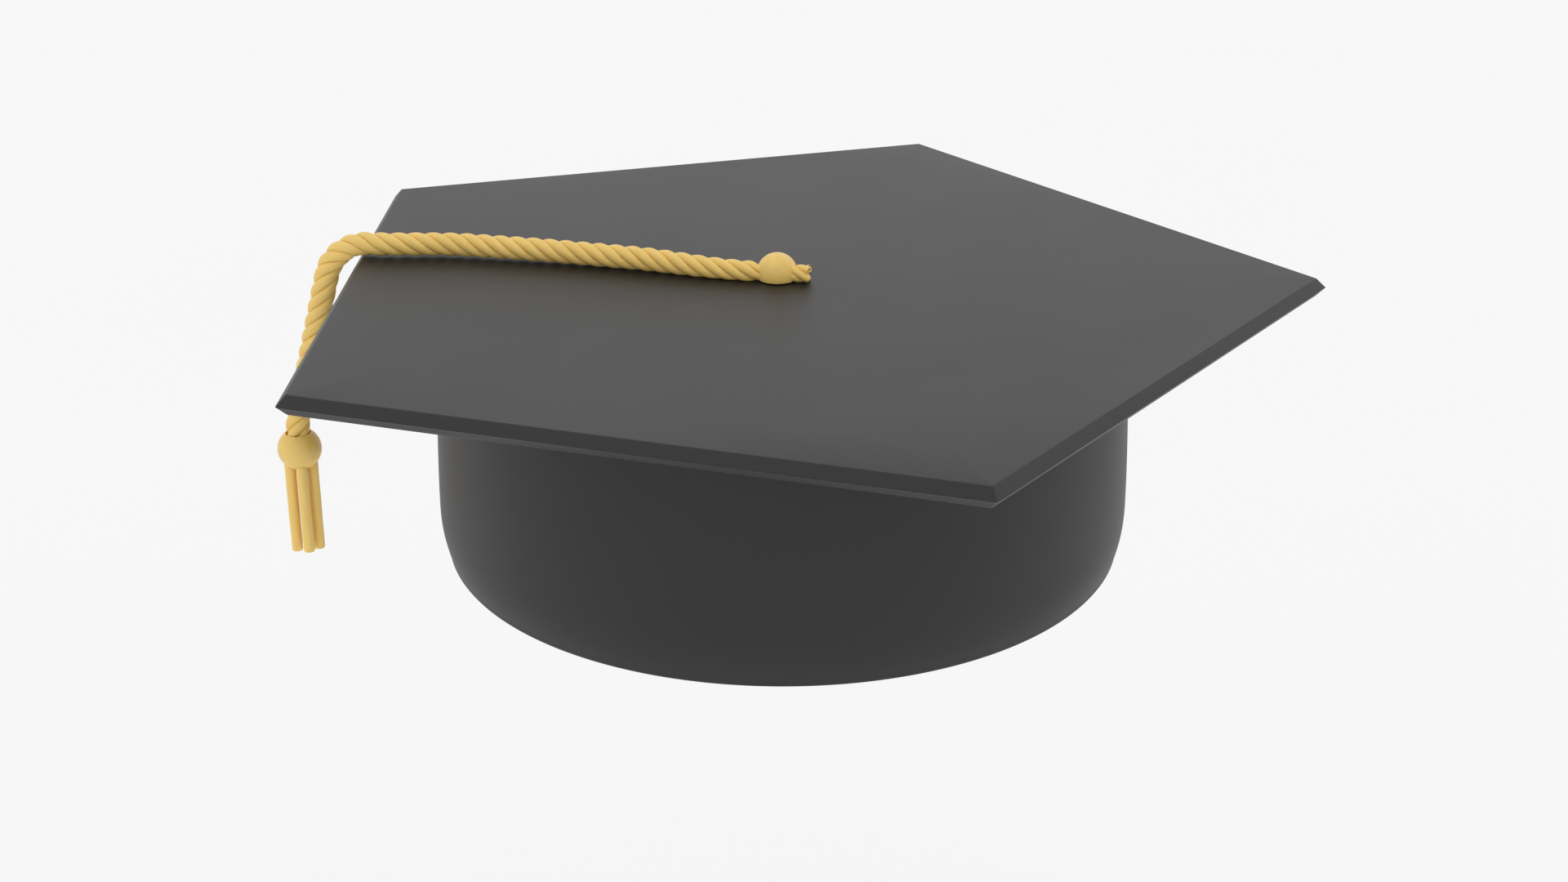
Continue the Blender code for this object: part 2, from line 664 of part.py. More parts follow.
def ply_ring(along, index, square_cut):
    """Points of a ply's section; square_cut sets it square to the cord."""
    centre, radial = ply_place(along, index)
    if square_cut:
        tangent = tangent_of(cord_axis, along)
    else:
        tangent = tangent_of(lambda place: ply_place(place, index)[0], along)
    outward = square_to(tangent, radial)
    across = tangent.cross(outward)
    radius = ply_sizes(along)[1]
    ring = []
    for i in range(PLY_SIDES):
        angle = math.pi * 2 * i / PLY_SIDES
        point = centre + (outward * math.cos(angle) + across * math.sin(angle)) * radius
        if along < PRESSED_UNTIL:
            point.z = max(point.z, height(CORD_LIES_AT))
        ring.append(point)
    return ring


def hollow_start(bm, index, start):
    """Make the start of a lofted ply a short open tube."""
    bm.faces.ensure_lookup_table()
    face = bm.faces[-2]                   # loft() adds the start face last but one
    bmesh.ops.recalc_face_normals(bm, faces=bm.faces)
    bmesh.ops.inset_individual(bm, faces=[face], thickness=TAIL_WALL)
    extruded = bmesh.ops.extrude_face_region(bm, geom=[face])
    inner = [item for item in extruded["geom"] if isinstance(item, bmesh.types.BMVert)]
    inward = ply_place(start + TAIL_HOLLOW, index)[0] - ply_place(start, index)[0]
    bmesh.ops.translate(bm, verts=inner, vec=inward)
    # the extrusion may leave the old face across the tube's mouth
    if face.is_valid:
        bmesh.ops.delete(bm, geom=[face], context="FACES_ONLY")


def build_ply(name, index, start, end, joint, hollow=False):
    """One ply between two places along the cord."""
    count = max(2, int(math.ceil((end - start) / PLY_STEP)))
    bm = loft([ply_ring(start + (end - start) * i / count, index, i in (0, count))
               for i in range(count + 1)])
    if hollow:
        hollow_start(bm, index, start)
    add_piece(name, bm, "gold_cord", joint, smooth=70.0)


def build_cord(turn, swing, sway):
    for i in range(PLIES):
        build_ply(f"run_ply_{i + 1}", i, -TAIL, BEND_START - GAP / 2, turn, hollow=True)
        build_ply(f"bend_ply_{i + 1}", i, BEND_START + GAP / 2, BEND_END - GAP / 2, swing)
        build_ply(f"drop_ply_{i + 1}", i, BEND_END + GAP / 2, CORD_END, sway)


# ---------------------------------------------------------------- tassel
TASSEL_BEAD_R = 6.49
MOUTH_R, MOUTH_DEPTH = 3.9, 2.0
MOUTH_RISE = TASSEL_BEAD_R * math.sqrt(1.0 - (MOUTH_R / TASSEL_BEAD_R) ** 2)
STRAND_R = 1.6
STRAND_OFFSET = 3.32         # from the tassel bead's axis
STRAND_PIVOT_DROP = 4.6      # below the centre of the tassel bead
FIRST_STRAND_AZ = 337.6
STRAND_END_Z = (-93.9, -94.6, -93.9, -94.6)
STRAND_BORE_R, STRAND_BORE_DEPTH = 0.95, 3.0
SOCKET_CLEARANCE, SOCKET_HEADROOM, SOCKET_REACH = 0.28, 0.45, 8.0


def build_tassel_bead(centre, joint):
    """Ball with a round recess at the top where the cord enters."""
    floor_z = MOUTH_RISE - MOUTH_DEPTH
    top = math.asin(MOUTH_RISE / TASSEL_BEAD_R)
    profile = arc_points(TASSEL_BEAD_R, 0.0, top, -math.pi / 2, 11)
    profile += [(0.0, -TASSEL_BEAD_R), (0.0, floor_z), (MOUTH_R, floor_z)]
    return add_piece("tassel_bead", moved(lathe(profile, 24), centre), "gold_bead", joint)


def build_strand(number, at, end_z, tassel_bead, joint):
    """Hanging strand with a domed top and a bored end, and its socket in the bead."""
    cut(tassel_bead, f"cut_socket_{number}", cylinder(
        STRAND_R + SOCKET_CLEARANCE, at.z - SOCKET_REACH,
        at.z + STRAND_R + SOCKET_HEADROOM, 16, at.x, at.y))
    strand_joint = add_joint(f"pivot_strand_{number}", at, joint)
    end = height(end_z) - at.z
    shoulder = STRAND_R * math.sin(math.radians(45))
    bore_top = end + STRAND_BORE_DEPTH
    profile = [(0.0, STRAND_R), (shoulder, shoulder), (STRAND_R, 0.0), (STRAND_R, end / 2),
               (STRAND_R, end), (STRAND_BORE_R, end), (STRAND_BORE_R, bore_top),
               (0.0, bore_top)]
    add_piece(f"strand_{number}", moved(lathe(profile, 12), at), "gold_cord", strand_joint)


def build_tassel(mouth, joint):
    centre = mouth - Vector((0.0, 0.0, MOUTH_RISE))
    bead = build_tassel_bead(centre, joint)
    for i, end_z in enumerate(STRAND_END_Z):
        azimuth = FIRST_STRAND_AZ + 360.0 / len(STRAND_END_Z) * i
        at = centre + polar(azimuth, STRAND_OFFSET, -STRAND_PIVOT_DROP)
        build_strand(i + 1, at, end_z, bead, joint)


# ---------------------------------------------------------------- assembly
def build_cap():
    for build in (build_top_cover, build_bottom_cover, build_core, build_eyelet,
                  build_crown_shell, build_gusset, build_elastic, build_stiffener,
                  build_wall_lining, build_sweatband, build_ceiling, build_label):
        build()

    mouth = cord_axis(CORD_END)
    turn = add_joint("pivot_tassel_turn", (0.0, 0.0, BOARD_TOP_Z))
    swing = add_joint("pivot_cord_swing", cord_axis((BEND_START + BEND_END) / 2), turn)
    sway = add_joint("pivot_cord_sway", cord_axis(BEND_END + 0.3), swing)
    tilt = add_joint("pivot_tassel_tilt", mouth, sway)

    build_knot_bead(turn)
    build_stem(turn)
    build_cord(turn, swing, sway)
    build_tassel(mouth, tilt)


build_cap()
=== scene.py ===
# A black cloth cap: a flat five-cornered board on a round crown, with a gold cord that starts
# under a bead at the board's centre, bends over an edge and ends in a bead with four strands.
# +Z is up, the crown's axis is Z, one corner of the board points to the front (-Y) and the
# gathered panel is at the back (+Y). Lengths are in mm until a mesh is made, azimuths are in
# degrees from +X, and a depth or height z is counted from the board's top face.
import math

import bmesh
import bpy
import numpy as np
from mathutils import Matrix, Vector


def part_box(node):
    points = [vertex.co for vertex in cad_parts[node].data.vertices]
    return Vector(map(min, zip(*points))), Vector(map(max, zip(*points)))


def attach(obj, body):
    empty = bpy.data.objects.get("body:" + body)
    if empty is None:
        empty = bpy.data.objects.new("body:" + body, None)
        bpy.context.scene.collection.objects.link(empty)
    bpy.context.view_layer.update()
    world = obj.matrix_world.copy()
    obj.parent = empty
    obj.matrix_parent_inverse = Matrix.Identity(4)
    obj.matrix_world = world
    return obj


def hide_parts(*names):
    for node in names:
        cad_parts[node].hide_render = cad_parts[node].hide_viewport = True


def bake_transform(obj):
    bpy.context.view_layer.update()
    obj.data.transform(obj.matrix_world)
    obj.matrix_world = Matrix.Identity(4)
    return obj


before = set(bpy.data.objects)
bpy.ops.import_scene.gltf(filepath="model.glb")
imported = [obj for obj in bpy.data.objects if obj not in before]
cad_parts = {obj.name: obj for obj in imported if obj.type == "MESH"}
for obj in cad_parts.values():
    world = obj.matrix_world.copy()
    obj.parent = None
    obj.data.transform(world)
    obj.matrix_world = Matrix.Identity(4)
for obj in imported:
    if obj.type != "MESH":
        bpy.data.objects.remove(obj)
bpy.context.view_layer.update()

MM = 0.001

# ------------------------------------------------------------------ main dimensions
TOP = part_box("board_top_cover")[1].z / MM                 # top face of the board
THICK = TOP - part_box("board_bottom_cover")[0].z / MM
RIM_R = -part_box("board_top_cover")[0].y / MM              # front corner of the rim
FACE_R = RIM_R - 2.8                                      # corner of the flat face
CROWN_H = (TOP - THICK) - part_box("crown_shell")[0].z / MM
CROWN_TOP_R = 94.9
HEM_Z = -THICK - CROWN_H                                  # foot of the crown
BACK = 90.0                                               # azimuth of the back
GUSSET_HALF = 30.0                                        # half the gathered panel's angle

# cord: s is the distance along its axis from the board's centre
AZ_RUN, AZ_DROP = 222.3, 224.5          # azimuth on the board and where it hangs
DRIFT_FROM, DRIFT_TO = 90.0, 120.0      # s over which the azimuth changes
RUN_LEN, BEND_R, LEAN, DROP_LEN, TURN_DOWN_R = 119.55, 14.0, 15.7, 45.6, 22.0
TAIL, TAIL_TWIST = 7.6, 30.0            # cut ends beyond the centre, and their extra turn
TWIST_FROM = 2.5                        # -s where that turn starts
PITCH, PHASE = 19.5, 37.2               # length of one turn of the plies, angle of the first
# levels inside the middle bead, at its mouth, on the run (and at the bend)
CORD_Z = (2.3, 2.45, 3.34, 3.7)
PLY_AXIS_R = (1.45, 1.86, 2.07)
PLY_OWN_R = (0.95, 1.14, 1.27)
SWELL = 0.069                           # share the cord's girth grows by from the bend on
FULLNESS = 0.88                         # how near the ply axes lie to the cord's axis
PLY_SIDES = 24
PLY_STEP = 0.8
SECTOR = math.radians(44.8)             # half the sector one ply may fill
LIE = 0.06                              # gap between the cord's flat underside and the cloth

# middle bead and tassel
BEAD_R, BEAD_CENTRE, BEAD_ALONG, BEAD_SIDE = 5.65, 1.9, 1.4, 1.0
BEAD_FOOT = 0.45                        # height where the round of the bead stops
TASSEL_R, TASSEL_H, TASSEL_MOUTH_R = 6.49, 6.49, 3.9
SOCKET_R, SOCKET_UP, SOCKET_DOWN = 1.81, 1.9, 8.0
STRAND_R, STRAND_OFFSET, STRAND_PIVOT = 1.64, 3.30, 4.6
STRAND_ANGLES = (337.6, 67.6, 157.6, 247.6)
STRAND_SIDES = 28


# ------------------------------------------------------------------ small tools
def ease(value, start, end):
    """Smooth step from 0 at start to 1 at end."""
    t = min(1.0, max(0.0, (value - start) / (end - start)))
    return t * t * (3.0 - 2.0 * t)


def stepped(levels, shares):
    """The first level, plus each further step times its share."""
    total = levels[0]
    for low, high, share in zip(levels, levels[1:], shares):
        total += (high - low) * share
    return total


def polar(azimuth, radius, z):
    angle = math.radians(azimuth)
    return Vector((radius * math.cos(angle), radius * math.sin(angle), z))


def height(z):
    return TOP + z


def wobble(x, seed=0.0):
    """Smooth repeatable wobble in -1..1 made of a few sines."""
    return (math.sin(x * 1.0 + seed) + 0.6 * math.sin(x * 2.3 + seed * 1.7 + 1.3)
            + 0.4 * math.sin(x * 4.1 + seed * 2.9 + 0.4)) / 2.0


def link_object(name, data):
    obj = bpy.data.objects.new(name, data)
    bpy.context.scene.collection.objects.link(obj)
    return obj


def object_from_bmesh(name, bm):
    mesh = bpy.data.meshes.new(name)
    bm.to_mesh(mesh)
    bm.free()
    return link_object(name, mesh)


def recalc_normals(mesh, merge=False):
    bm = bmesh.new()
    bm.from_mesh(mesh)
    if merge:
        bmesh.ops.remove_doubles(bm, verts=bm.verts, dist=1e-7)
    bmesh.ops.recalc_face_normals(bm, faces=bm.faces)
    bm.to_mesh(mesh)
    bm.free()


def unroll(mesh, flat_uv, axis, period):
    """Faces that cross the UV seam get coordinates past the period instead of a jump back."""
    values = flat_uv[axis::2]
    for poly in mesh.polygons:
        if poly.loop_total > 4:
            continue
        part = values[poly.loop_start:poly.loop_start + poly.loop_total]
        if part.max() - part.min() > period * 0.5:
            part[part < part.max() - period * 0.5] += period


def new_object(name, verts, faces, mat, uvs, angle=50.0, recalc=True, wrap=None):
    """verts in mm, one UV per vertex. angle = sharp edge limit. wrap = (UV axis, period)."""
    mesh = bpy.data.meshes.new(name)
    mesh.from_pydata([tuple(c * MM for c in v) for v in verts], [], faces)
    mesh.update()
    obj = link_object(name, mesh)
    layer = mesh.uv_layers.new(name="UVMap")
    flat_uv = np.zeros(len(mesh.loops) * 2, np.float32)
    loop_verts = np.zeros(len(mesh.loops), np.int32)
    mesh.loops.foreach_get("vertex_index", loop_verts)
    vert_uv = np.asarray(uvs, np.float32)
    flat_uv[0::2] = vert_uv[loop_verts, 0]
    flat_uv[1::2] = vert_uv[loop_verts, 1]
    if wrap is not None:
        unroll(mesh, flat_uv, *wrap)
    layer.data.foreach_set("uv", flat_uv)
    if recalc:
        recalc_normals(mesh)
    mesh.shade_smooth()
    mesh.set_sharp_from_angle(angle=math.radians(angle))
    mesh.materials.append(mat)
    return obj


def swept(name, rows, uv_rows, mat, close_rows=False, close_points=True, **options):
    """Skin of quads over rows of points. close_rows joins the last row to the first,
    close_points the last point of a row to its first. Closed sections get end caps."""
    width, count = len(rows[0]), len(rows)
    faces = []
    for i in range(count if close_rows else count - 1):
        this, after = i * width, ((i + 1) % count) * width
        for j in range(width if close_points else width - 1):
            k = (j + 1) % width
            faces.append((this + j, this + k, after + k, after + j))
    if close_points and not close_rows:
        faces.append(tuple(range(width))[::-1])
        faces.append(tuple((count - 1) * width + j for j in range(width)))
    verts = [p for row in rows for p in row]
    return new_object(name, verts, faces, mat, [p for row in uv_rows for p in row], **options)


def assign(obj, joint, replaced):
    """Tell the frame what a piece moves with, which CAD piece it replaces."""
    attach(obj, joint)
    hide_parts(replaced)


# ------------------------------------------------------------------ materials
def srgb(r, g, b):
    def linear(c):
        c /= 255.0
        return c / 12.92 if c <= 0.04045 else ((c + 0.055) / 1.055) ** 2.4
    return (linear(r), linear(g), linear(b), 1.0)


def shade(colour, factor):
    return (colour[0] * factor, colour[1] * factor, colour[2] * factor, 1.0)


class Shader:
    """A thin helper for writing shader graphs."""

    def __init__(self, name):
        self.mat = bpy.data.materials.new(name)
        self.mat.use_nodes = True
        self.tree = self.mat.node_tree
        self.bsdf = self.tree.nodes["Principled BSDF"]

    def add(self, kind, **props):
        node = self.tree.nodes.new(kind)
        for key, value in props.items():
            setattr(node, key, value)
        return node

    def put(self, socket, value):
        """Link a node output, or set a plain value."""
        if hasattr(value, "node"):
            self.tree.links.new(value, socket)
        else:
            socket.default_value = value

    def math(self, operation, *values):
        node = self.add("ShaderNodeMath", operation=operation)
        for socket, value in zip(node.inputs, values):
            self.put(socket, value)
        return node.outputs[0]

    def weighted(self, *terms):
        """Sum of (value, weight) pairs."""
        total = None
        for value, weight in terms:
            part = self.math("MULTIPLY", value, weight)
            total = part if total is None else self.math("ADD", total, part)
        return total

    def uv(self):
        return self.add("ShaderNodeUVMap", uv_map="UVMap").outputs[0]

    def obj(self):
        return self.add("ShaderNodeTexCoord").outputs["Object"]

    def obj_mm(self):
        return self.scaled(self.obj(), (1000.0, 1000.0, 1000.0))

    def scaled(self, vector, scale):
        node = self.add("ShaderNodeMapping")
        node.inputs["Scale"].default_value = scale
        self.put(node.inputs["Vector"], vector)
        return node.outputs[0]

    def noise(self, vector, scale, detail=3.0, rough=0.55):
        node = self.add("ShaderNodeTexNoise")
        self.put(node.inputs["Vector"], vector)
        node.inputs["Scale"].default_value = scale
        node.inputs["Detail"].default_value = detail
        node.inputs["Roughness"].default_value = rough
        return node.outputs[0]

    def split(self, vector):
        node = self.add("ShaderNodeSeparateXYZ")
        self.put(node.inputs[0], vector)
        return node.outputs[0], node.outputs[1], node.outputs[2]

    def wave(self, x, period, phase=0.0):
        """0..1 sine of a coordinate, period in the coordinate's unit."""
        angle = self.math("MULTIPLY_ADD", x, 2 * math.pi / period, phase)
        return self.math("MULTIPLY_ADD", self.math("SINE", angle), 0.5, 0.5)

    def remap(self, x, source, target=(0.0, 1.0)):
        node = self.add("ShaderNodeMapRange")
        self.put(node.inputs["Value"], x)
        node.inputs["From Min"].default_value, node.inputs["From Max"].default_value = source
        node.inputs["To Min"].default_value, node.inputs["To Max"].default_value = target
        return node.outputs[0]

    def ramp(self, x, stops):
        """stops: (position, colour)"""
        node = self.add("ShaderNodeValToRGB")
        self.put(node.inputs[0], x)
        while len(node.color_ramp.elements) < len(stops):
            node.color_ramp.elements.new(0.5)
        for element, (position, colour) in zip(node.color_ramp.elements, stops):
            element.position = position
            element.color = colour
        return node.outputs[0]

    def mix(self, factor, first, second):
        node = self.add("ShaderNodeMix", data_type="RGBA")
        for index, value in ((0, factor), (6, first), (7, second)):
            self.put(node.inputs[index], value)
        return node.outputs[2]

    def bump(self, relief, distance, strength):
        node = self.add("ShaderNodeBump")
        node.inputs["Strength"].default_value = strength
        node.inputs["Distance"].default_value = distance
        self.put(node.inputs["Height"], relief)
        return node.outputs[0]

    def round_coords(self, x, y, along, radius):
        """Coordinates that close up round a tube: x runs along it in mm, y once round it."""
        angle = self.math("MULTIPLY", y, 2.0 * math.pi)
        join = self.add("ShaderNodeCombineXYZ")
        self.put(join.inputs[0], self.math("MULTIPLY", x, along))
        self.put(join.inputs[1], self.math("MULTIPLY", self.math("COSINE", angle), radius))
        self.put(join.inputs[2], self.math("MULTIPLY", self.math("SINE", angle), radius))
        return join.outputs[0]

    def surface(self, **inputs):
        """Fill inputs of the Principled shader; underscores stand for spaces."""
        for key, value in inputs.items():
            self.put(self.bsdf.inputs[key.replace("_", " ")], value)
        return self.mat


def cloth(name, base, pitch=0.42, rough=0.5, tint=0.10, uv=True):
    """Fine twill in mm: a diagonal rib over a yarn grid, slubs, fuzz and slow shade changes."""
    mat = Shader(name)
    coords = mat.uv() if uv else mat.obj_mm()
    x, y, _ = mat.split(coords)
    rib = mat.wave(mat.math("ADD", x, y), pitch)
    yarn = mat.math("MULTIPLY", mat.wave(x, pitch * 0.5), mat.wave(y, pitch * 0.5, phase=1.1))
    slub = mat.noise(mat.scaled(coords, (0.06, 2.4, 1.0)), scale=1.0, detail=2.0)
    fuzz = mat.noise(coords, scale=3.2, detail=4.0, rough=0.7)
    cloud = mat.noise(coords, scale=0.03)
    relief = mat.weighted((rib, 0.5), (yarn, 0.4), (slub, 0.3), (fuzz, 0.3))
    tone = mat.weighted((relief, 0.5), (cloud, 0.6))
    tone_range = (0.3, 1.15)
    colour = mat.ramp(mat.remap(tone, tone_range), [
        (0.0, shade(base, 1.0 - tint)), (0.5, base), (1.0, shade(base, 1.0 + 1.6 * tint))])
    roughness = mat.remap(tone, tone_range, target=(rough + 0.03, rough - 0.03))
    return mat.surface(Base_Color=colour, Roughness=roughness,
                       Normal=mat.bump(relief, distance=0.00002, strength=0.5))


def yarn_material(name, light, dark):
    """Gold spun yarn. UV: x runs along the ply in mm, y runs round it 0..1."""
    mat = Shader(name)
    x, y, _ = mat.split(mat.uv())
    turns_per_mm = 0.5 / 12.0
    turned = mat.math("ADD", y, mat.math("MULTIPLY", x, turns_per_mm))
    fibre = mat.wave(turned, period=1.0 / 34.0)
    thread = mat.wave(turned, period=1.0 / 11.0, phase=0.7)
    streak = mat.noise(mat.round_coords(x, turned, along=0.35, radius=3.2),
                       scale=1.6, detail=4.0, rough=0.65)
    fuzz = mat.noise(mat.round_coords(x, turned, along=2.5, radius=3.0),
                     scale=2.6, detail=4.0, rough=0.7)
    cloud = mat.noise(mat.round_coords(x, y, along=0.09, radius=0.3), scale=1.0, detail=2.0)
    relief = mat.weighted((fibre, 0.22), (thread, 0.12), (streak, 0.6), (fuzz, 0.4))
    tone = mat.weighted((relief, 0.7), (cloud, 0.4))
    colour = mat.ramp(mat.remap(tone, source=(0.35, 1.05)), [
        (0.0, dark), (0.5, light), (1.0, shade(light, 1.06))])
    return mat.surface(
        Base_Color=colour,
        Roughness=mat.remap(streak, source=(0.2, 0.8), target=(0.52 + 0.07, 0.52 - 0.07)),
        Normal=mat.bump(relief, distance=0.00003, strength=0.45),
        Sheen_Weight=0.12, Sheen_Roughness=0.35, Sheen_Tint=(1.0, 0.9, 0.6, 1.0),
        Subsurface_Weight=0.06, Subsurface_Radius=(0.6, 0.35, 0.12), Subsurface_Scale=0.0006)


def wound_bead_material(name, light, dark):
    """Fine thread wound closely round a bead. UV: x once round it, y from end to end in mm."""
    mat = Shader(name)
    x, y, _ = mat.split(mat.uv())
    waver = mat.noise(mat.round_coords(y, x, along=0.3, radius=1.5), scale=1.0, detail=2.0)
    wound = mat.wave(mat.math("ADD", y, mat.math("MULTIPLY", waver, 0.25)), period=0.24)
    fuzz = mat.noise(mat.round_coords(y, x, along=2.5, radius=9.0),
                     scale=1.6, detail=4.0, rough=0.7)
    cloud = mat.noise(mat.round_coords(y, x, along=0.2, radius=1.2), scale=1.0, detail=2.0)
    relief = mat.weighted((wound, 0.35), (fuzz, 0.4))
    tone = mat.weighted((relief, 0.6), (cloud, 0.5))
    colour = mat.ramp(mat.remap(tone, source=(0.25, 0.95)), [
        (0.0, dark), (0.5, light), (1.0, shade(light, 1.04))])
    return mat.surface(
        Base_Color=colour,
        Roughness=mat.remap(fuzz, source=(0.2, 0.8), target=(0.5, 0.4)),
        Normal=mat.bump(relief, distance=0.00002, strength=0.3), Sheen_Weight=0.08)


def metal(name, colour, rough):
    """Metal with fine scratches and darker blots."""
    mat = Shader(name)
    coords = mat.obj()
    scratch = mat.noise(mat.scaled(coords, (900.0, 90.0, 900.0)),
                        scale=3.0, detail=4.0, rough=0.7)
    blot = mat.noise(coords, scale=400.0)
    mixed = mat.mix(mat.remap(blot, source=(0.35, 0.75)), colour, shade(colour, 0.62))
    return mat.surface(
        Base_Color=mixed,
        Roughness=mat.remap(scratch, source=(0.2, 0.8), target=(rough - 0.08, rough + 0.16)),
        Metallic=1.0, Normal=mat.bump(scratch, distance=0.00002, strength=0.4))


def board_stock(name):
    """Grey pasteboard with visible fibres."""
    mat = Shader(name)
    coords = mat.obj()
    fibre = mat.noise(mat.scaled(coords, (300.0, 2200.0, 2200.0)),
                      scale=1.0, detail=5.0, rough=0.7)
    fleck = mat.noise(coords, scale=1500.0, detail=2.0)
    even_mix = mat.math("MULTIPLY_ADD", fleck, 0.5, mat.math("MULTIPLY", fibre, 0.5))
    colour = mat.ramp(even_mix, [
        (0.3, srgb(118, 112, 102)), (0.5, srgb(150, 144, 132)), (0.75, srgb(172, 167, 156))])
    return mat.surface(Base_Color=colour, Roughness=0.92,
                       Normal=mat.bump(fibre, distance=0.0001, strength=0.5))


def open_weave(name, base):
    """Buckram or elastic: a coarse plain weave."""
    mat = Shader(name)
    coords = mat.obj_mm()
    x, y, z = mat.split(coords)
    weft = mat.wave(z, period=1.1)
    warp = mat.wave(mat.math("ADD", x, y), period=1.1)
    relief = mat.math("ADD", weft, warp)
    spots = mat.noise(coords, scale=1.4)
    colour = mat.ramp(mat.remap(mat.math("ADD", relief, spots), source=(0.4, 2.4)), [
        (0.0, shade(base, 0.6)), (0.6, base), (1.0, shade(base, 1.25))])
    return mat.surface(Base_Color=colour, Roughness=0.88,
                       Normal=mat.bump(relief, distance=0.00012, strength=0.6))


def leatherette(name, base):
    """Pebbled grain with dark creases."""
    mat = Shader(name)
    coords = mat.obj_mm()
    cell = mat.add("ShaderNodeTexVoronoi", feature="DISTANCE_TO_EDGE")
    mat.put(cell.inputs["Vector"], coords)
    mat.put(cell.inputs["Scale"], 0.9)
    grain = mat.remap(cell.outputs[0], source=(0.0, 0.22))
    fine = mat.noise(coords, scale=2.5, detail=4.0, rough=0.6)
    cloud = mat.noise(coords, scale=0.05, detail=2.0)
    relief = mat.math("ADD", grain, mat.math("MULTIPLY", fine, 0.5))
    colour = mat.ramp(mat.remap(mat.math("ADD", relief, cloud), source=(0.5, 2.0)), [
        (0.0, shade(base, 0.55)), (0.6, base), (1.0, shade(base, 1.5))])
    return mat.surface(
        Base_Color=colour,
        Roughness=mat.remap(grain, source=(0.0, 1.0), target=(0.62, 0.42)),
        Normal=mat.bump(relief, distance=0.00008, strength=0.6))


BLACK = (0.0065, 0.0065, 0.0072, 1.0)
GOLD = {"light": (0.845, 0.585, 0.163, 1.0), "dark": (0.74, 0.48, 0.112, 1.0)}
BOARD_CLOTH = cloth("board_cloth", BLACK, rough=0.45)
BOARD_CLOTH_UNDER = cloth("board_cloth_under", BLACK, rough=0.5)
CROWN_CLOTH = cloth("crown_cloth", BLACK, rough=0.5)
GUSSET_CLOTH = cloth("gusset_cloth", BLACK, rough=0.55)
LINING_SATIN = cloth("lining_satin", srgb(46, 46, 52), pitch=0.5, rough=0.36, tint=0.2)
TIP_CLOTH = cloth("tip_cloth", BLACK, rough=0.55, uv=False)
GOLD_YARN = yarn_material("gold_yarn", **GOLD)
GOLD_BEAD = wound_bead_material("gold_wound_bead", **GOLD)
LABEL_CLOTH = cloth("label_cloth", srgb(208, 203, 192), pitch=0.6, rough=0.7, tint=0.06)
BRASS = metal("brass", srgb(206, 170, 92), rough=0.3)
STEEL = metal("steel", srgb(186, 188, 190), rough=0.32)
PASTEBOARD = board_stock("pasteboard")
BUCKRAM = open_weave("buckram", srgb(190, 183, 168))
ELASTIC = open_weave("elastic_weave", srgb(34, 34, 37))
SWEATBAND = leatherette("sweatband_leatherette", srgb(58, 52, 48))

# CAD pieces that keep their shape and only get a material
for node_name, material in (
        ("board_core", PASTEBOARD), ("center_eyelet", BRASS), ("button_stem", BRASS),
        ("stem_washer", STEEL), ("stem_lock_ring", STEEL), ("crown_stiffener", BUCKRAM),
        ("elastic_band", ELASTIC), ("crown_tip", TIP_CLOTH)):
    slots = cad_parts[node_name].data.materials
    slots.clear()
    slots.append(material)


# ------------------------------------------------------------------ the board's covers
COVER_T = 0.8
# (corner radius, depth from the face, corner rounding), from the face round the rim to the inside
COVER_SECTION = [
    (FACE_R - 0.55, 0.0, 0.5), (FACE_R - 0.16, 0.015, 0.6), (FACE_R + 0.02, 0.09, 0.6),
    (FACE_R + 0.22, 0.23, 0.6), (FACE_R + 1.4, 1.36, 0.6),
    (RIM_R - 0.14, THICK / 2 - 0.11, 0.6), (RIM_R - 0.03, THICK / 2 - 0.035, 0.6),
    (RIM_R - 0.06, THICK / 2 - 0.012, 0.6), (RIM_R - 0.7, THICK / 2 - 0.015, 0.6),
    (RIM_R - 1.15, THICK / 2 - 0.08, 0.5), (FACE_R - 0.75, COVER_T, 0.4)]
FACE_RINGS = 10


def rounded_pentagon(radius, rounding, per_corner=6, per_edge=24):
    """Outline of a regular pentagon with small rounded corners, the first one at the front."""
    sides = 5
    half = math.pi / sides
    inset = rounding / math.sin(math.pi / 2 - half)
    corners = []
    for k in range(sides):
        azimuth = math.radians(270.0 + 360.0 * k / sides)
        centre = Vector((math.cos(azimuth), math.sin(azimuth), 0.0)) * (radius - inset)
        arc = []
        for i in range(per_corner + 1):
            angle = azimuth - half + 2 * half * i / per_corner
            arc.append(centre + Vector((math.cos(angle), math.sin(angle), 0.0)) * rounding)
        corners.append(arc)
    line = []
    for k in range(sides):
        line += corners[k]
        start, end = corners[k][-1], corners[(k + 1) % sides][0]
        for i in range(1, per_edge):
            line.append(start.lerp(end, i / per_edge))
    return line


